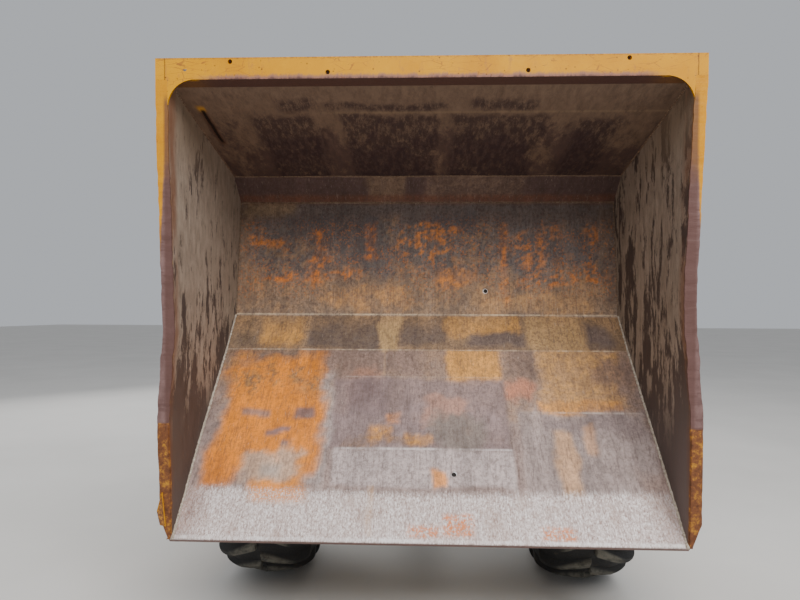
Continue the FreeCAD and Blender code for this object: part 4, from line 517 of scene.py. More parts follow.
def flange_finish():
    """Side flange: yellow at the top, rubbed to purple-brown steel below, rusty doubler at the foot."""
    f = Finish("yellow_flange", specular=0.22)
    fine = f.noise(80, detail=8, rough=0.8)
    streak = f.noise(20, (1, 1, 0.5), detail=8, rough=0.75, offset=2)
    yellow = f.ramp(streak, (0.3, (190, 124, 0)), (0.7, (212, 148, 6)))
    yellow = f.mix(f.step(fine, 0.6, 0.7, 0, 0.8), yellow, (100, 62, 42))
    worn = f.ramp(streak, (0.3, (96, 70, 66)), (0.7, (134, 106, 102)))
    dents = f.noise(24, (0.3, 0.3, 1.6), detail=4, offset=5)
    worn = f.mix(f.step(dents, 0.55, 0.62, 0, 0.5), worn, (88, 62, 58))
    rusty = f.noise(26, detail=9, rough=0.8, offset=7)
    rusty = f.ramp(rusty, (0.35, (76, 46, 32)), (0.52, (122, 76, 46)), (0.64, (196, 138, 40)))
    ragged = f.wander(f.z, streak, 0.3)
    outer = f.step(f.off_middle(), 1.176, 1.2, 0.0, 0.35)
    colour = f.mix(f.step(f.plus(ragged, outer), 2.12, 2.34), worn, yellow)
    inner = f.times(f.step(f.off_middle(), 1.186, 1.17), f.step(f.z, 2.56, 2.5))
    colour = f.over(colour, inner, 0.8, (92, 64, 58))
    colour = f.mix(f.step(f.z, 1.072, 1.062), colour, rusty)
    relief = f.bump(dents, 0.5, 0.006, f.bump(fine, 0.2, 0.0015))
    return f.done(colour, f.step(fine, 0.3, 0.7, 0.42, 0.7), relief)


def lip_finish():
    f = Finish("worn_steel_lip", metallic=0.2)
    fine = f.noise(60, (0.6, 1, 1), detail=9, rough=0.8)
    colour = f.ramp(fine, (0.3, (82, 58, 52)), (0.5, (116, 88, 80)), (0.7, (156, 128, 118)))
    return f.done(colour, f.step(fine, 0.3, 0.7, 0.4, 0.7), f.bump(fine, 0.4, 0.003))


def bead_finish(name, low, middle, high):
    """Weld bead or torn edge, spotted with dirt or rust."""
    f = Finish(name)
    fine = f.noise(90, detail=8, rough=0.8)
    colour = f.ramp(fine, (0.32, low), (0.5, middle), (0.66, high))
    return f.done(colour, f.step(fine, 0.3, 0.7, 0.9, 0.7), f.bump(fine, 0.6, 0.004))


def vinyl_finish():
    """Black seat vinyl with grain and dust."""
    f = Finish("seat_vinyl", specular=0.45)
    grain = f.cells(420)
    dust = f.step(f.noise(7, detail=6), 0.4, 0.75, 0.05, 0.4)
    colour = f.mix(dust, f.ramp(grain, (0.2, (20, 20, 21)), (0.8, (32, 32, 33))), (126, 116, 100))
    creases = f.bump(f.noise(24, detail=3), 0.2, 0.003)
    return f.done(colour, f.step(grain, 0, 1, 0.42, 0.6), f.bump(grain, 0.35, 0.0006, creases))


finish["skip_floor"] = floor_finish()
finish["skip_rear"] = rear_wall_finish()
finish["rail"] = rail_finish()
finish["flange"] = flange_finish()
finish["lip"] = lip_finish()
finish["bead"] = bead_finish("weld_bead", (112, 94, 80), (178, 164, 146), (220, 210, 194))
finish["seam"] = bead_finish("weld_seam", (70, 52, 46), (112, 88, 70), (158, 138, 112))
finish["rust_edge"] = bead_finish("rust_edge", (70, 42, 30), (116, 72, 42), (200, 140, 44))
# The mud finish is painted shade: near-black discs behind the drain holes, so that the holes look dark
finish["mud"] = bead_finish("drain_painted_shade", (24, 18, 16), (34, 27, 24), (46, 38, 32))
finish["vinyl"] = vinyl_finish()
special = {
    "skip_floor_sheet": "skip_floor",
    "skip_rear_wall": "skip_rear",
    "skip_rear_rail": "rail",
    "skip_side_rails": "flange",
    "skip_lip": "lip",
}


def lens(name, colour, strength):
    """Ribbed plastic or glass that shines faintly by itself."""
    colour = rgb(*colour)
    f = Finish(name, specular=0.6)
    ribs = f.noise(60, detail=2)
    f.shader.inputs["Transmission Weight"].default_value = 0.35
    f.shader.inputs["Emission Color"].default_value = colour
    f.shader.inputs["Emission Strength"].default_value = strength
    return f.done(f.mix(ribs, colour, [c * 0.7 for c in colour[:3]] + [1]), 0.12, f.bump(ribs, 0.1, 0.001))


finish["amber_lens"] = lens("amber_lens", (232, 128, 20), 0.08)
finish["lamp_glass"] = lens("lamp_glass", (214, 220, 224), 0.02)
finish["clear_lens"] = painted("clear_lens", (40, 40, 41), (30, 30, 31), dust=0.3, chips=0.1)
for name, node in nodes.items():
    key = special.get(name, slot_of[name])
    if name in ("skip_side_left", "skip_side_right"):
        key = name
        finish[name] = side_finish(1 if name.endswith("left") else -1)
    if not node.material_slots:
        node.data.materials.append(None)
    for held in node.material_slots:
        held.material = finish[key]


# Shapes


UP = Vector((0, 0, 1))


def spokes(side, other, count):
    """Directions around a circle in the plane of two others."""
    turns = [2 * math.pi * step / count for step in range(count)]
    return [side * math.cos(turn) + other * math.sin(turn) for turn in turns]


class Solid:
    """Gathers turned, boxed and swept shapes for one piece."""

    def __init__(self):
        self.vertices = []
        self.faces = []

    def skin(self, rings, closed=False, capped=True):
        """Skins rings of equal counts. A row that closes on itself has no ends to cap."""
        count = len(rings[0])
        total = len(rings)
        start = len(self.vertices)
        for ring in rings:
            self.vertices.extend(ring)
        for a in range(total if closed else total - 1):
            b = (a + 1) % total
            for i in range(count):
                j = (i + 1) % count
                corners = (a * count + i, a * count + j, b * count + j, b * count + i)
                self.faces.append(tuple(start + corner for corner in corners))
        if capped and not closed:
            last = start + (total - 1) * count
            self.faces.append(tuple(range(start + count - 1, start - 1, -1)))
            self.faces.append(tuple(range(last, last + count)))

    def lathe(self, origin, axis, profile, count=24, bore=0.0):
        """Turned shape, or ring with a bore. The profile holds (distance along the axis, radius)."""
        axis = Vector(axis).normalized()
        side = axis.orthogonal().normalized()
        around = spokes(side, axis.cross(side), count)
        if bore:
            profile = (*profile, (profile[-1][0], bore), (profile[0][0], bore))
        places = [(Vector(origin) + axis * along, radius) for along, radius in profile]
        rings = [[place + spoke * radius for spoke in around] for place, radius in places]
        self.skin(rings, closed=bool(bore))

    def block(self, low, high, bevel=0.003):
        """Box with its edges taken off."""
        rings = []
        for z, inset in ((low[2], bevel), (low[2] + bevel, 0), (high[2] - bevel, 0), (high[2], bevel)):
            x0, y0 = low[0] + inset, low[1] + inset
            x1, y1 = high[0] - inset, high[1] - inset
            ring = ((x0 + bevel, y0), (x1 - bevel, y0), (x1, y0 + bevel), (x1, y1 - bevel),
                    (x1 - bevel, y1), (x0 + bevel, y1), (x0, y1 - bevel), (x0, y0 + bevel))
            rings.append([Vector((x, y, z)) for x, y in ring])
        self.skin(rings)

    def tube(self, points, radius, count=10, closed=False, waver=0.0):
        """Round bar along points. waver makes its radius uneven, as a weld's is."""
        points = [Vector(point) for point in points]
        total = len(points)
        rings = []
        side = None
        for step, point in enumerate(points):
            ahead = points[(step + 1) % total] if closed or step < total - 1 else point
            behind = points[step - 1] if closed or step > 0 else point
            run = (ahead - behind).normalized()
            side = run.orthogonal() if side is None else side - run * side.dot(run)
            side.normalize()
            swell = radius * (1 + waver * math.sin(step * 2.3) * math.cos(step * 0.71))
            rings.append([point + spoke * swell for spoke in spokes(side, run.cross(side), count)])
        self.skin(rings, closed)

    def make(self, name, material, body, replaces=(), smooth=35):
        mesh = bpy.data.meshes.new(name)
        mesh.from_pydata([tuple(v) for v in self.vertices], [], self.faces)
        return finished(name, mesh, material, body, replaces, smooth)


def finished(name, mesh, material, body, replaces=(), smooth=35):
    """Makes a piece of a mesh: normals, finish, and the body that it rides on."""
    shape = bmesh.new()
    shape.from_mesh(mesh)
    bmesh.ops.recalc_face_normals(shape, faces=shape.faces)
    shape.to_mesh(mesh)
    shape.free()
    mesh.materials.clear()
    mesh.materials.append(finish[material])
    mesh.polygons.foreach_set("use_smooth", [True] * len(mesh.polygons))
    mesh.set_sharp_from_angle(angle=math.radians(smooth))
    piece = bpy.data.objects.new(name, mesh)
    scene.collection.objects.link(piece)
    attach(piece, body)
    if replaces:
        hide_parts(*replaces)
    return piece


def applied(piece):
    """Gives a piece the mesh that its modifiers make."""
    graph = bpy.context.evaluated_depsgraph_get()
    mesh = bpy.data.meshes.new_from_object(piece.evaluated_get(graph))
    piece.modifiers.clear()
    piece.data = mesh
    return mesh


def ease(share):
    share = min(max(share, 0.0), 1.0)
    return share * share * (3 - 2 * share)


# Skip: bent flanges and side walls
# Folds of the skip's inside as it stands tipped: (y, z)
FOLDS = {
    "lip": Vector((-2.227, 0.540)),
    "first": Vector((-1.458, FIRST)),
    "second": Vector((-1.287, SECOND)),
    "floor_end": Vector((-1.203, FLOOR_END)),
    "heel": Vector((-1.348, HEEL)),
    "rim": Vector((-2.314, 2.608)),
}
# Half widths of the skip, inside and over its flanges
INNER = 1.162
OUTER = 1.216
UP_MOUTH = (FOLDS["rim"] - FOLDS["lip"]).normalized()
INTO_MOUTH = Vector((UP_MOUTH.y, -UP_MOUTH.x))
# How deep behind the mouth the bend reaches
BOW_DEPTH = 0.42
# How far the sides are bent inwards at the mouth: (run up from the lip, shift)
BOW = {
    -1: ((0, 0.009), (0.24, 0.009), (0.46, 0), (0.6, 0.002), (0.76, 0.014), (0.955, 0.028),
         (1.1, 0.022), (1.44, 0.014), (1.8, 0.003), (2.07, 0)),
    1: ((0, 0.002), (0.3, 0), (0.56, 0), (0.78, 0.017), (1.02, 0.034), (1.1, 0.036),
        (1.52, 0.022), (1.82, 0.01), (2.07, 0)),
}


def bow(hand, run):
    """Shift of a side at a height above the lip, uneven from small dents."""
    table = BOW[hand]
    shift = table[-1][1]
    for (low, first), (high, second) in zip(table, table[1:]):
        if low <= run <= high:
            shift = first + (second - first) * ease((run - low) / (high - low))
            break
    dent = math.sin(run * 57 + hand) * math.sin(run * 23 + 2 * hand) * math.sin(run * 9)
    return max(0.0, shift + 0.0022 * dent)


def bent(point, ripple=0.0):
    """A point of the skip's side after years of knocks."""
    hand = 1 if point.x > 0 else -1
    from_lip = Vector((point.y, point.z)) - FOLDS["lip"]
    run = from_lip.dot(UP_MOUTH)
    depth = from_lip.dot(INTO_MOUTH)
    share = 1 - ease(depth / BOW_DEPTH)
    moved = Vector(point)
    moved.x -= hand * bow(hand, run) * share
    if ripple and depth < 0.004 and 0.5 < run < 1.95:
        wave = max(0.0, math.sin(run * 118 + 3 * math.sin(run * 17 + hand))) * ease((1.95 - run) * 2)
        moved.y += ripple * wave * (0.4 + 0.6 * abs(math.sin(run * 31)))
    return moved


def bent_copy(node, name, material, ripple=0.0, rise=0.03, run=0.06):
    """Copy of a side part, cut finely enough to bend, that stands for the straight one."""
    shape = bmesh.new()
    shape.from_mesh(nodes[node].data)
    bmesh.ops.remove_doubles(shape, verts=shape.verts, dist=0.00001)
    low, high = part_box(node)
    cuts = [((0, 0, z), (0, 0, 1)) for z in np.arange(low.z + rise / 2, high.z, rise)]
    cuts += [((0, y, 0), (0, 1, 0)) for y in np.arange(low.y + run / 2, low.y + BOW_DEPTH + 0.1, run)]
    for place, direction in cuts:
        everything = shape.verts[:] + shape.edges[:] + shape.faces[:]
        bmesh.ops.bisect_plane(shape, geom=everything, plane_co=place, plane_no=direction, dist=0.00001)
    for vertex in shape.verts:
        vertex.co = bent(vertex.co, ripple)
    mesh = bpy.data.meshes.new(name)
    shape.to_mesh(mesh)
    shape.free()
    finished(name, mesh, material, "skip", (node,), 25)


def smooth_step(low, high, values):
    share = np.clip((values - low) / (high - low), 0, 1)
    return share * share * (3 - 2 * share)


def span_mask(values, low, high, soft):
    return smooth_step(low - soft, low + soft, values) * (1 - smooth_step(high - soft, high + soft, values))


def box_mask(x, z, x_low, x_high, z_low, z_high, soft):
    return span_mask(x, x_low, x_high, soft) * span_mask(z, z_low, z_high, soft)


def field(places, scale, octaves, offset):
    """Noise at places, from about -1 to 1."""
    shift = Vector((offset, offset * 2.3, offset * 0.7))
    return np.array([noise.fractal(Vector(place) * scale + shift, 0.7, 2.0, octaves) for place in places])


# Dents of the folded sheet: (x from, x to, z from, z to, softness, depth)
SHEET_DENTS = (
    (-0.5, 0.43, 0.888, 1.215, 0.012, 0.0035), (0.5, 1.13, 0.72, 1.05, 0.015, 0.0022),
    (-0.72, -0.58, 0.99, 1.08, 0.04, 0.0025), (-0.98, -0.8, 1, 1.07, 0.04, 0.002),
    (-0.44, 0.42, 0.735, 0.885, 0.012, 0.0015),
)
SHEET_STEP = 0.012
SHEET_THICK = 0.008
# Depth of the sheet's slow waves, and how far from its sides the dents fade out
WAVE_DEPTH = 0.0016
FADE = 0.05
# Drain holes, through the floor and through the front sheet
DRAIN_PLACES = (Vector((0.368, -1.269, 1.706)), Vector((0.14, -1.9945, 0.787)))
DRAIN_RADIUS = 0.012


def sheet_wear(places, spots, coarse):
    """Colour and share of specks at each place of the sheet's inside, from its patches."""
    stray_x = 0.6 * field(places, 5.0, 5, 1.0)
    stray_z = 0.6 * field(places, 6.0, 5, 9.0)
    mottle = 0.5 * field(places, 11.0, 6, 3.0) + 0.8 * field(places, 34.0, 3, 6.0)
    drawn = field([(x * 6, y, z * 0.9) for x, y, z in places], 3.0, 5, 2.0)
    gaps = 1 - smooth_step(-0.05, 0.30, mottle)
    layers = np.ones((len(places), 4))
    for x_low, x_high, z_low, z_high, soft, ragged, cover, broken, specks, tint in SHEET_PATCHES:
        x = spots[:, 0] + stray_x * ragged
        z = spots[:, 2] + stray_z * ragged
        mask = box_mask(x, z, x_low, x_high, z_low, z_high, soft) * (1 - broken * gaps)
        share = (mask * cover)[:, None]
        layers = layers * (1 - share) + np.array(rgb(*tint)[:3] + [specks]) * share
    tone = 1 + 0.20 * mottle + 0.12 * coarse + 0.22 * drawn
    layers[:, :3] *= np.clip(tone, 0.6, 1.4)[:, None]
    return layers


def add_drains(solid, normals, start, length, radius, count):
    """Adds a round bar at each drain hole, square to its sheet."""
    for place, normal in zip(DRAIN_PLACES, (normals[2], normals[0])):
        axis = Vector((0, normal.x, normal.y))
        solid.lathe(place + axis * start, axis, ((0, radius), (length, radius)), count)


def linked(name, mesh):
    piece = bpy.data.objects.new(name, mesh)
    scene.collection.objects.link(piece)
    return piece


def make_sheet():
    """Folded sheet with its dents and patches, which stands for the plain one."""
    names = ("lip", "first", "second", "floor_end", "heel")
    normals = []
    rows = []
    for first, second in zip(names, names[1:]):
        run = FOLDS[second] - FOLDS[first]
        count = round(run.length / SHEET_STEP)
        run.normalize()
        normals.append(Vector((-run.y, run.x)))
        for share in range(count):
            rows.append((FOLDS[first].lerp(FOLDS[second], share / count), normals[-1], share > 0))
    rows.append((FOLDS["heel"], normals[-1], False))
    columns = np.linspace(-INNER, INNER, 2 * round(INNER / SHEET_STEP) + 1)
    inner = [(x, place.x, place.y) for place, _, _ in rows for x in columns]
    spots = np.array(inner)
    coarse = field(inner, 2.2, 3, 4.0)
    dent = WAVE_DEPTH * (coarse + 0.5)
    for x_low, x_high, z_low, z_high, soft, deep in SHEET_DENTS:
        dent += deep * box_mask(spots[:, 0], spots[:, 2], x_low, x_high, z_low, z_high, soft)
    dent *= smooth_step(0, FADE, INNER - np.abs(spots[:, 0]))
    wide = len(columns)
    vertices = []
    for step, (place, normal, free) in enumerate(rows):
        for column, x in enumerate(columns):
            depth = dent[step * wide + column] if free else 0
            vertices.append((x, place.x - normal.x * depth, place.y - normal.y * depth))
    for step in range(len(names) - 1, -1, -1):
        near = normals[max(step - 1, 0)]
        far = normals[min(step, len(normals) - 1)]
        mitre = (near + far) / (1 + near.dot(far))
        place = FOLDS[names[step]] - mitre * SHEET_THICK
        vertices.extend((x, place.x, place.y) for x in columns)
    total = len(vertices) // wide
    faces = []
    for a in range(total):
        near, far = a * wide, (a + 1) % total * wide
        faces.extend((near + i, near + i + 1, far + i + 1, far + i) for i in range(wide - 1))
    faces.append(tuple(a * wide for a in range(total)))
    faces.append(tuple(a * wide + wide - 1 for a in range(total - 1, -1, -1)))
    mesh = bpy.data.meshes.new("skip_folded_sheet")
    mesh.from_pydata(vertices, [], faces)
    colour = np.ones((len(vertices), 4))
    colour[:len(inner)] = sheet_wear(inner, spots, coarse)
    wear = mesh.color_attributes.new("wear", "FLOAT_COLOR", "POINT")
    wear.data.foreach_set("color", colour.ravel())
    sheet = linked("drilled", mesh)
    drill = Solid()
    add_drains(drill, normals, -0.03, 0.06, DRAIN_RADIUS, 20)
    tool_mesh = bpy.data.meshes.new("drill")
    tool_mesh.from_pydata([tuple(v) for v in drill.vertices], [], drill.faces)
    tool = linked("drill", tool_mesh)
    cut = sheet.modifiers.new("drains", "BOOLEAN")
    cut.object = tool
    cut.solver = "EXACT"
    mesh = applied(sheet)
    bpy.data.objects.remove(sheet)
    bpy.data.objects.remove(tool)
    finished("skip_folded_sheet", mesh, "skip_floor", "skip", ("skip_floor_sheet",), 25)
    # Near-black discs just behind the drain holes: painted shade, so that the holes look dark instead of
    # showing what lies behind the sheet
    plugs = Solid()
    add_drains(plugs, normals, -SHEET_THICK - 0.003, 0.0025, 0.017, 16)
    plugs.make("drain_painted_shade", "mud", "skip")


make_sheet()
bent_copy("skip_side_rails", "skip_bent_flanges", "flange", 0.003, 0.012)
for side in ("left", "right"):
    bent_copy(f"skip_side_{side}", f"skip_side_wall_{side}", f"skip_side_{side}")


def on_mouth(x, run, proud):
    """Point before the plane of the skip's mouth, at a height above the lip."""
    y, z = FOLDS["lip"] + UP_MOUTH * run - INTO_MOUTH * proud
    return Vector((x, y, z))


def along_fold(x, first, second, count, inset=0.0):
    """Points from one fold to another beside a side wall."""
    points = []
    for step in range(count + 1):
        y, z = FOLDS[first].lerp(FOLDS[second], step / count)
        points.append(bent(Vector((x, y, z))) + Vector((0, -inset, 0)))
    return points


def make_welds():
    """Dirt-caked welds in the skip's corners and along its folds."""
    welds = Solid()
    seams = Solid()
    for hand in (-1, 1):
        edge = hand * (INNER - 0.003)
        welds.tube(along_fold(edge, "lip", "first", 90, 0.004), 0.0065, 8, waver=0.5)
        welds.tube(along_fold(edge, "first", "second", 22, 0.004), 0.005, 8, waver=0.5)
        edge = hand * (INNER - 0.002)
        seams.tube(along_fold(edge, "second", "floor_end", 60, 0.003), 0.004, 8, waver=0.5)
        seams.tube(along_fold(edge, "heel", "rim", 70), 0.004, 8, waver=0.6)
    for fold in ("heel", "floor_end"):
        y, z = FOLDS[fold]
        seams.tube([(x, y - 0.002, z + 0.0015 * math.sin(x * 9)) for x in np.linspace(-INNER, INNER, 150)],
                   0.0032, 8, waver=0.6)
    welds.make("skip_corner_welds", "bead", "skip")
    seams.make("skip_seam_welds", "seam", "skip")


def make_flap():
    """Torn flap of the worn doubler on the skip's right flange, with a bright edge."""
    outline = ((0.022, 0.215), (0, 0.128), (0.014, 0.066), (0.036, 0.060))
    flap = Solid()
    flap.skin([[on_mouth(x - OUTER, run, proud) for x, run in outline] for proud in (0.004, 0.009)])
    flap.make("flange_flap", "rust_edge", "skip")
    edge = Solid()
    corners = (outline[3], outline[0], outline[1])
    edge.tube([on_mouth(x - OUTER + 0.003, run, 0.009) for x, run in corners], 0.0022, 6)
    edge.make("flange_flap_edge", "rail", "skip")


def make_rail_details():
    """Two nubs on the rail's top and a plug in one of its holes."""
    nubs = Solid()
    nub = ((0, 0.0075), (0.006, 0.0075), (0.010, 0.005), (0.012, 0.001))
    for x in (-1.172, 1.172):
        nubs.lathe((x, -2.300, 2.700), UP, nub, 14)
    nubs.make("rail_nubs", "rust_edge", "skip")
    plug = Solid()
    plug.lathe((-1.082, -2.3115, 2.655), (0, -1, 0), ((0, 0.012), (0.0035, 0.012), (0.0045, 0.009)), 20)
    plug.make("rail_plug", "bare_steel", "skip")


make_welds()
make_flap()
make_rail_details()

# Wheels
# Half of the tyre's section from the middle to the bead: (across, radius, height of a lug there), in mm
SECTION = (
    (0, 555, 0), (3, 555, 0), (7, 555, 20), (10, 555, 28.5), (15, 554.8, 30), (45, 552, 29.5),
    (85, 547, 29.5), (120, 541, 30.5), (150, 535, 32), (180, 522, 35), (205, 506, 38.5), (225, 489, 43),
    (240, 471, 47), (249, 455, 47), (252.5, 447, 44), (256, 436, 3), (258.5, 424, 0), (260, 405, 0),
    (258.5, 384, 0), (252, 360, 0), (238, 340, 0), (216, 324, 0), (189.5, 314.5, 0), (188.7, 300, 0),
    (188.7, 287, 0), (176, 286.5, 0), (163, 286.5, 0),
)
LUGS = 18
# Where a lug starts and ends across the tyre, and where it stands out sideways, in mm
LUG_FOOT, LUG_END = 8, 260
SHOULDER = (225, 256)
SHOULDER_SWELL = 1.5
# Half of a lug's width at its top and base, and its slant for each mm across, in degrees
LUG_TOP = math.degrees(23 / 585)
LUG_BASE = math.degrees(29 / 555)
SLANT = math.degrees(150 / 555) / LUG_END
# Across one lug, in degrees from its middle, and how much of its height is there
LUG_SHAPE = (
    (-10, 0), (-6.4, 0), (-LUG_BASE - 0.35, 0), (-LUG_BASE, 0.1), (-LUG_TOP - 0.14, 0.9),
    (-LUG_TOP + 0.18, 1), (-0.9, 1), (0.9, 1), (LUG_TOP - 0.18, 1), (LUG_TOP + 0.14, 0.9),
    (LUG_BASE, 0.1), (LUG_BASE + 0.35, 0), (6.4, 0),
)
AXLE_Z = 0.585


def make_tyre(name, side, y):
    """Carcass with two staggered rows of slanting lugs, as its solid has."""
    tyre = Solid()
    low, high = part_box(f"tyre_{name}")
    middle = (low.x + high.x) / 2
    around = [(lug * 360 / LUGS + offset, share) for lug in range(LUGS) for offset, share in LUG_SHAPE]
    for row, turn in ((1, 0), (-1, 180 / LUGS)):
        rings = []
        for across, radius, lug_height in SECTION:
            lean = turn + SLANT * (min(max(across, LUG_FOOT), LUG_END) - LUG_FOOT)
            ring = []
            for angle, share in around:
                reach = (radius + lug_height * share) / 1000
                swell = SHOULDER_SWELL * share if SHOULDER[0] < across < SHOULDER[1] else 0
                x = middle + side * row * (across + swell) / 1000
                a = math.radians(angle + lean)
                ring.append(Vector((x, y + reach * math.sin(a), AXLE_Z - reach * math.cos(a))))
            rings.append(ring)
        tyre.skin(rings, capped=False)
    tyre.make(f"tread_{name}", f"tyre_{name}", f"wheel_{name}", (f"tyre_{name}",), 38)


def make_wheel_details(name, side, y):
    """Wheel nuts on their studs, the hub cover with its bolts and the valve cap."""
    parts = Solid()
    out = Vector((side, 0, 0))
    hub = Vector((side * 0.910, y, AXLE_Z))
    nut = ((0, 0.023), (0.004, 0.023), (0.005, 0.018), (0.018, 0.018), (0.021, 0.015))
    stud = ((0, 0.009), (0.012, 0.009), (0.014, 0.007))
    bolt = ((0, 0.009), (0.007, 0.009), (0.008, 0.0075))
    cover = ((0, 0.034), (0.006, 0.034), (0.009, 0.030), (0.009, 0.012), (0.013, 0.012))
    nuts, bolts = 10, 8
    for step in range(nuts):
        turn = 2 * math.pi * step / nuts
        place = hub + Vector((side * 0.0355, 0.222 * math.sin(turn), 0.222 * math.cos(turn)))
        parts.lathe(place, out, nut, 6)
        parts.lathe(place + out * 0.020, out, stud, 12)
    for step in range(bolts):
        turn = 2 * math.pi * (step + 0.5) / bolts
        place = hub + Vector((side * 0.1645, 0.094 * math.sin(turn), 0.094 * math.cos(turn)))
        parts.lathe(place, out, bolt, 6)
    parts.lathe(hub + out * 0.1645, out, cover, 24)
    parts.make(f"wheel_nuts_{name}", "bare_steel", f"wheel_{name}")


FRONT_Y, REAR_Y = -1.182, 1.418
WHEELS = (
    ("front_left", 1, FRONT_Y), ("front_right", -1, FRONT_Y),
    ("rear_left", 1, REAR_Y), ("rear_right", -1, REAR_Y),
)
for wheel, hand, station in WHEELS:
    finish[f"tyre_{wheel}"] = rubber(f"tyre_rubber_{wheel}", (station, AXLE_Z))
    make_tyre(wheel, hand, station)
    make_wheel_details(wheel, hand, station)

# Covers of the seat, blown up from their solids
PRESSURE = 4
PRESSURE_FRAMES = 20
# Half widths at which the channels are sewn, how wide and deep they are, and how far in they reach
SEWN_AT = (0.075, 0.165)
SEWN_WIDE, SEWN_DEEP, SEWN_REACH = 0.007, 0.007, 0.05


def make_cover(node, upright, cap=0.016, inset=0.008):
    """Padded cover over a seat part, with sewn channels in its face. No point moves further than cap."""
    low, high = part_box(node)
    centre = (low + high) / 2
    mesh = nodes[node].data.copy()
    for vertex in mesh.vertices:
        for axis in range(3):
            half = (high[axis] - low[axis]) / 2
            vertex.co[axis] = centre[axis] + (vertex.co[axis] - centre[axis]) * (half - inset) / half
    cover = bpy.data.objects.new(f"{node}_cover", mesh)
    scene.collection.objects.link(cover)
    remesh = cover.modifiers.new("even", "REMESH")
    remesh.mode = "VOXEL"
    remesh.voxel_size = 0.006
    applied(cover)
    before = [vertex.co.copy() for vertex in cover.data.vertices]
    cloth = cover.modifiers.new("pressure", "CLOTH")
    cloth.settings.use_pressure = True
    cloth.settings.uniform_pressure_force = PRESSURE
    cloth.settings.effector_weights.gravity = 0
    cloth.settings.quality = 4
    for step in range(1, PRESSURE_FRAMES + 1):
        scene.frame_set(step)
    applied(cover)
    scene.frame_set(1)
    for vertex, old in zip(cover.data.vertices, before):
        move = vertex.co - old
        if move.length > cap:
            vertex.co = old + move.normalized() * cap
    face_axis, face_at = (1, low.y) if upright else (2, high.z)
    for vertex in cover.data.vertices:
        near = ease(1 - abs(vertex.co[face_axis] - face_at) / SEWN_REACH)
        sewn = sum(math.exp(-((abs(vertex.co.x) - line) / SEWN_WIDE) ** 2) for line in SEWN_AT)
        push = SEWN_DEEP * sewn * near
        vertex.co[face_axis] += push if upright else -push
        for axis in range(3):
            vertex.co[axis] = min(max(vertex.co[axis], low[axis] - 0.004), high[axis] + 0.012)
        if not upright:
            vertex.co.z = max(vertex.co.z, low.z + 0.0005)
    mesh = cover.data
    bpy.data.objects.remove(cover)
    piece = finished(f"{node}_cover", mesh, "vinyl", "rear_frame", (node,), 60)
    smooth = piece.modifiers.new("smooth", "SMOOTH")
    smooth.iterations = 4
    piece.modifiers.new("fine", "SUBSURF").levels = 1
    applied(piece)


make_cover("seat_cushion", False)
make_cover("seat_backrest", True)

# Details of the rear frame, bonnet, controls and rams


def make_lenses():
    dome = ((0, 0.047), (0.003, 0.046), (0.007, 0.038), (0.0095, 0.024), (0.0105, 0.008), (0.0107, 0.001))
    for end, x, y, z, direction in (("front", 0.52, 0.649, 0.932, -1), ("rear", 0.56, 2.277, 0.904, 1)):
        for side, hand in (("left", 1), ("right", -1)):
            glass = Solid()
            glass.lathe((hand * x, y, z), (0, direction, 0), dome, 36)
            glass.make(f"lens_{end}_{side}", "lamp_glass", "rear_frame", smooth=60)


def make_exhaust_details():
    """Beads of the heat guard, clamps, and the rim of the outlet with its bracket."""
    x, y, top = 0.552, 1.708, 1.648
    parts = Solid()
    turns = np.linspace(0, 2 * math.pi, 40, False)
    for z in (1.004, 1.412):
        bead = [(x + 0.0765 * math.cos(turn), y + 0.0765 * math.sin(turn), z) for turn in turns]
        parts.tube(bead, 0.004, 8, closed=True)
    clamp = ((0, 0.0365), (0.002, 0.0405), (0.020, 0.0405), (0.022, 0.0365))
    for z in (0.93, 1.50):
        parts.lathe((x, y, z), UP, clamp, 28)
        parts.block((x - 0.062, y - 0.008, z + 0.003), (x - 0.036, y + 0.008, z + 0.019))
    parts.lathe((x, y, top + 0.002), (0, 0.22, 1), ((0, 0.041), (0.003, 0.041), (0.004, 0.038)), 28)
    parts.block((x - 0.012, y - 0.060, top - 0.006), (x + 0.012, y - 0.036, top + 0.014))
    parts.make("exhaust_clamps", "bare_steel", "rear_frame")


def make_tank_details():
    """Filler caps and drain plugs of the tanks, and the studs of their steps."""
    caps = Solid()
    cap = ((-0.004, 0.036), (0.018, 0.036), (0.018, 0.043), (0.036, 0.043), (0.040, 0.039))
    plug = ((-0.002, 0.013), (0.010, 0.013), (0.012, 0.010))
    for x in (-0.50, 0.50):
        caps.lathe((x, 0.538, 0.76), (0, -1, 0.25), cap, 12)
        caps.lathe((x * 0.8, 0.538, 0.56), (0, -1, 0), plug, 6)
    caps.make("tank_caps", "black_cover", "rear_frame")
    treads = Solid()
    stud = ((0, 0.0075), (0.003, 0.006), (0.0035, 0.004))
    pitch = 0.028
    for hand in (-1, 1):
        for row in range(5):
            for column in range(9):
                treads.lathe((hand * (0.635 + row * pitch), 0.556 + column * pitch, 0.5395), UP, stud, 10)
    treads.make("step_treads", "dark_paint", "rear_frame")


def make_guard_edges():
    """Rolled edges of the mudguards."""
    edges = Solid()
    foot_z, radius, edge_radius = 0.868, 0.650, 0.653
    start = math.asin((foot_z - AXLE_Z) / radius)
    arc = [(REAR_Y - edge_radius * math.cos(a), AXLE_Z + edge_radius * math.sin(a))
           for a in np.linspace(start, math.pi - start, 40)]
    for hand in (-1, 1):
        for x in (1.1695, 0.6435):
            edges.tube([(hand * x, y, z) for y, z in arc], 0.0055, 8)
    edges.make("mudguard_edges", "yellow_paint", "rear_frame")


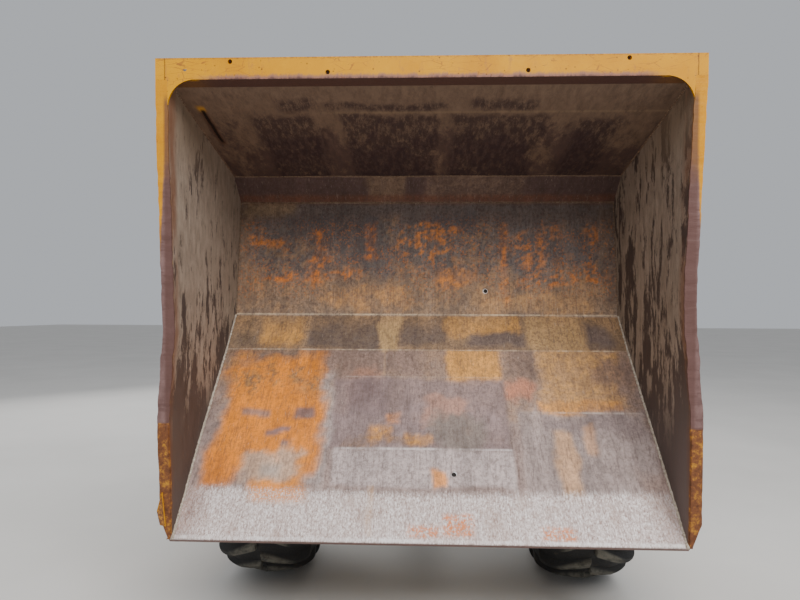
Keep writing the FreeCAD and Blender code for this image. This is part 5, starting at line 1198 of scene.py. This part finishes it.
def make_bonnet_details():
    """Louvres, latches and the grip of the bonnet."""
    slats = Solid()
    for x, wall_x, lip_x in ((-0.468, -0.482, -0.4705), (0.468, 0.482, 0.4705)):
        for step in range(8):
            z = 1.02 + step * 0.036
            foot = ((x, 1.82, z), (x, 2.10, z), (x, 2.10, z + 0.022), (x, 1.82, z + 0.022))
            face = ((wall_x, 1.826, z - 0.002), (wall_x, 2.094, z - 0.002), (lip_x, 2.096, z + 0.020),
                    (lip_x, 1.824, z + 0.020))
            slats.skin([foot, face])
    slats.make("bonnet_louvres", "yellow_paint", "bonnet_lid")
    latches = Solid()
    knob = ((0, 0.014), (0.014, 0.014), (0.017, 0.011))
    for hand in (-1, 1):
        latches.block((hand * 0.477 - 0.008, 1.690, 0.930), (hand * 0.477 + 0.008, 1.716, 1.010))
        latches.lathe((hand * 0.470, 1.703, 1.020), (hand, 0, 0), knob, 16)
    grip = ((-0.09, 2.236), (-0.09, 2.262), (-0.075, 2.270), (0.075, 2.270), (0.09, 2.262), (0.09, 2.236))
    latches.tube([(x, y, 1.395) for x, y in grip], 0.007, 12)
    latches.make("bonnet_latches", "black_cover", "bonnet_lid")


def make_controls():
    """Boss of the steering wheel, and the knobs and boots of three levers."""
    parts = Solid()
    axis = Vector((0, 0.682, 0.731))
    low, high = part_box("steering_wheel")
    boss = ((0, 0.040), (0.008, 0.040), (0.014, 0.034), (0.017, 0.020), (0.018, 0.002))
    parts.lathe((low + high) / 2 + axis * 0.012, axis, boss, 28)
    parts.make("wheel_boss", "vinyl", "hand_wheel", smooth=60)
    knobs = Solid()
    knob = ((0, 0.008), (0.004, 0.0145), (0.014, 0.0185), (0.024, 0.0165), (0.030, 0.009), (0.032, 0.001))
    boot = ((0, 0.014), (0.006, 0.012), (0.012, 0.013), (0.018, 0.009), (0.026, 0.007))
    for x in (-0.36, -0.33, -0.30):
        knobs.lathe((x, 1.148, 1.352), UP, knob, 20)
        knobs.lathe((x, 1.148, 1.214), UP, boot, 16)
    knobs.make("lever_knobs", "vinyl", "rear_frame", smooth=60)


def make_ram_details():
    """Gland nuts and hard pipes on the tipping rams."""
    axis = Vector((0, -0.101255, 0.99486))
    eye = 0.042
    gland = ((0, 0.0385), (0.003, 0.0425), (0.026, 0.0425), (0.029, 0.0385))
    for side, x in (("left", 0.33), ("right", -0.33)):
        low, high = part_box(f"tip_barrel_{side}")
        foot = Vector((x, high.y - eye, low.z + eye))
        length = (high.z - foot.z) / axis.z
        parts = Solid()
        parts.lathe(foot + axis * (length - 0.036), axis, gland, 32, bore=0.0372)
        # along the barrel, and how far off its axis
        path = ((0.03, 0.036), (0.03, 0.052), (0.045, 0.058), (length - 0.09, 0.058), (length - 0.075, 0.052),
                (length - 0.075, 0.034))
        parts.tube([foot + axis * run + Vector((0, reach, 0)) for run, reach in path], 0.007, 10)
        for run in (0.16, length - 0.2):
            clip = foot + axis * run
            parts.block(clip + Vector((-0.012, 0.034, -0.008)), clip + Vector((0.012, 0.066, 0.008)))
        parts.make(f"ram_pipe_{side}", "bare_steel", f"tip_barrel_{side}")


make_lenses()
make_exhaust_details()
make_tank_details()
make_guard_edges()
make_bonnet_details()
make_controls()
make_ram_details()


# Stage, lights and camera
stage = Finish("stage_floor")
stage.done(stage.ramp(stage.noise(0.6, detail=3), (0.3, (206, 203, 198)), (0.7, (214, 211, 206))), 0.9)
floor_mesh = bpy.data.meshes.new("stage_floor")
floor_mesh.from_pydata([(-40, -40, 0), (40, -40, 0), (40, 60, 0), (-40, 60, 0)], [], [(0, 1, 2, 3)])
floor_mesh.materials.append(stage.material)
stage_floor = bpy.data.objects.new("stage_floor", floor_mesh)
scene.collection.objects.link(stage_floor)

world = bpy.data.worlds.new("soft_sky")
scene.world = world
world.use_nodes = True
world.node_tree.nodes["Background"].inputs["Color"].default_value = rgb(228, 232, 238)
world.node_tree.nodes["Background"].inputs["Strength"].default_value = 0.62


def soft_light(name, place, target, size, power):
    lamp = bpy.data.lights.new(name, "AREA")
    lamp.shape = "RECTANGLE"
    lamp.size, lamp.size_y = size
    lamp.energy = power
    holder = bpy.data.objects.new(name, lamp)
    holder.location = place
    holder.rotation_euler = (Vector(target) - Vector(place)).to_track_quat("-Z", "Y").to_euler()
    scene.collection.objects.link(holder)


soft_light("key_light", (2.0, -8.0, 7.4), (0, -1.6, 1.1), (7, 5), 950)
soft_light("top_light", (0, 1, 8), (0, 0, 0), (9, 9), 240)
soft_light("fill_light", (-6, 5, 4), (0, 0.5, 1), (5, 5), 160)

# Camera, where the photograph was taken from
camera = bpy.data.objects.new("camera", bpy.data.cameras.new("camera"))
scene.collection.objects.link(camera)
scene.camera = camera
YAW, PITCH, ROLL = (math.radians(angle) for angle in (2.039, 1.144, 0.283))
forward = Vector((-math.sin(YAW) * math.cos(PITCH), math.cos(YAW) * math.cos(PITCH), math.sin(PITCH)))
right = Vector((math.cos(YAW), math.sin(YAW), 0))
up = right.cross(forward)
turned_right = right * math.cos(ROLL) + up * math.sin(ROLL)
turned_up = up * math.cos(ROLL) - right * math.sin(ROLL)
turned = Matrix((turned_right, turned_up, -forward)).transposed().to_4x4()
camera.matrix_world = Matrix.Translation((-0.0228, -4.9233, 1.5763)) @ turned
camera.data.sensor_width = 36
camera.data.lens = 26.866
camera.data.clip_end = 200
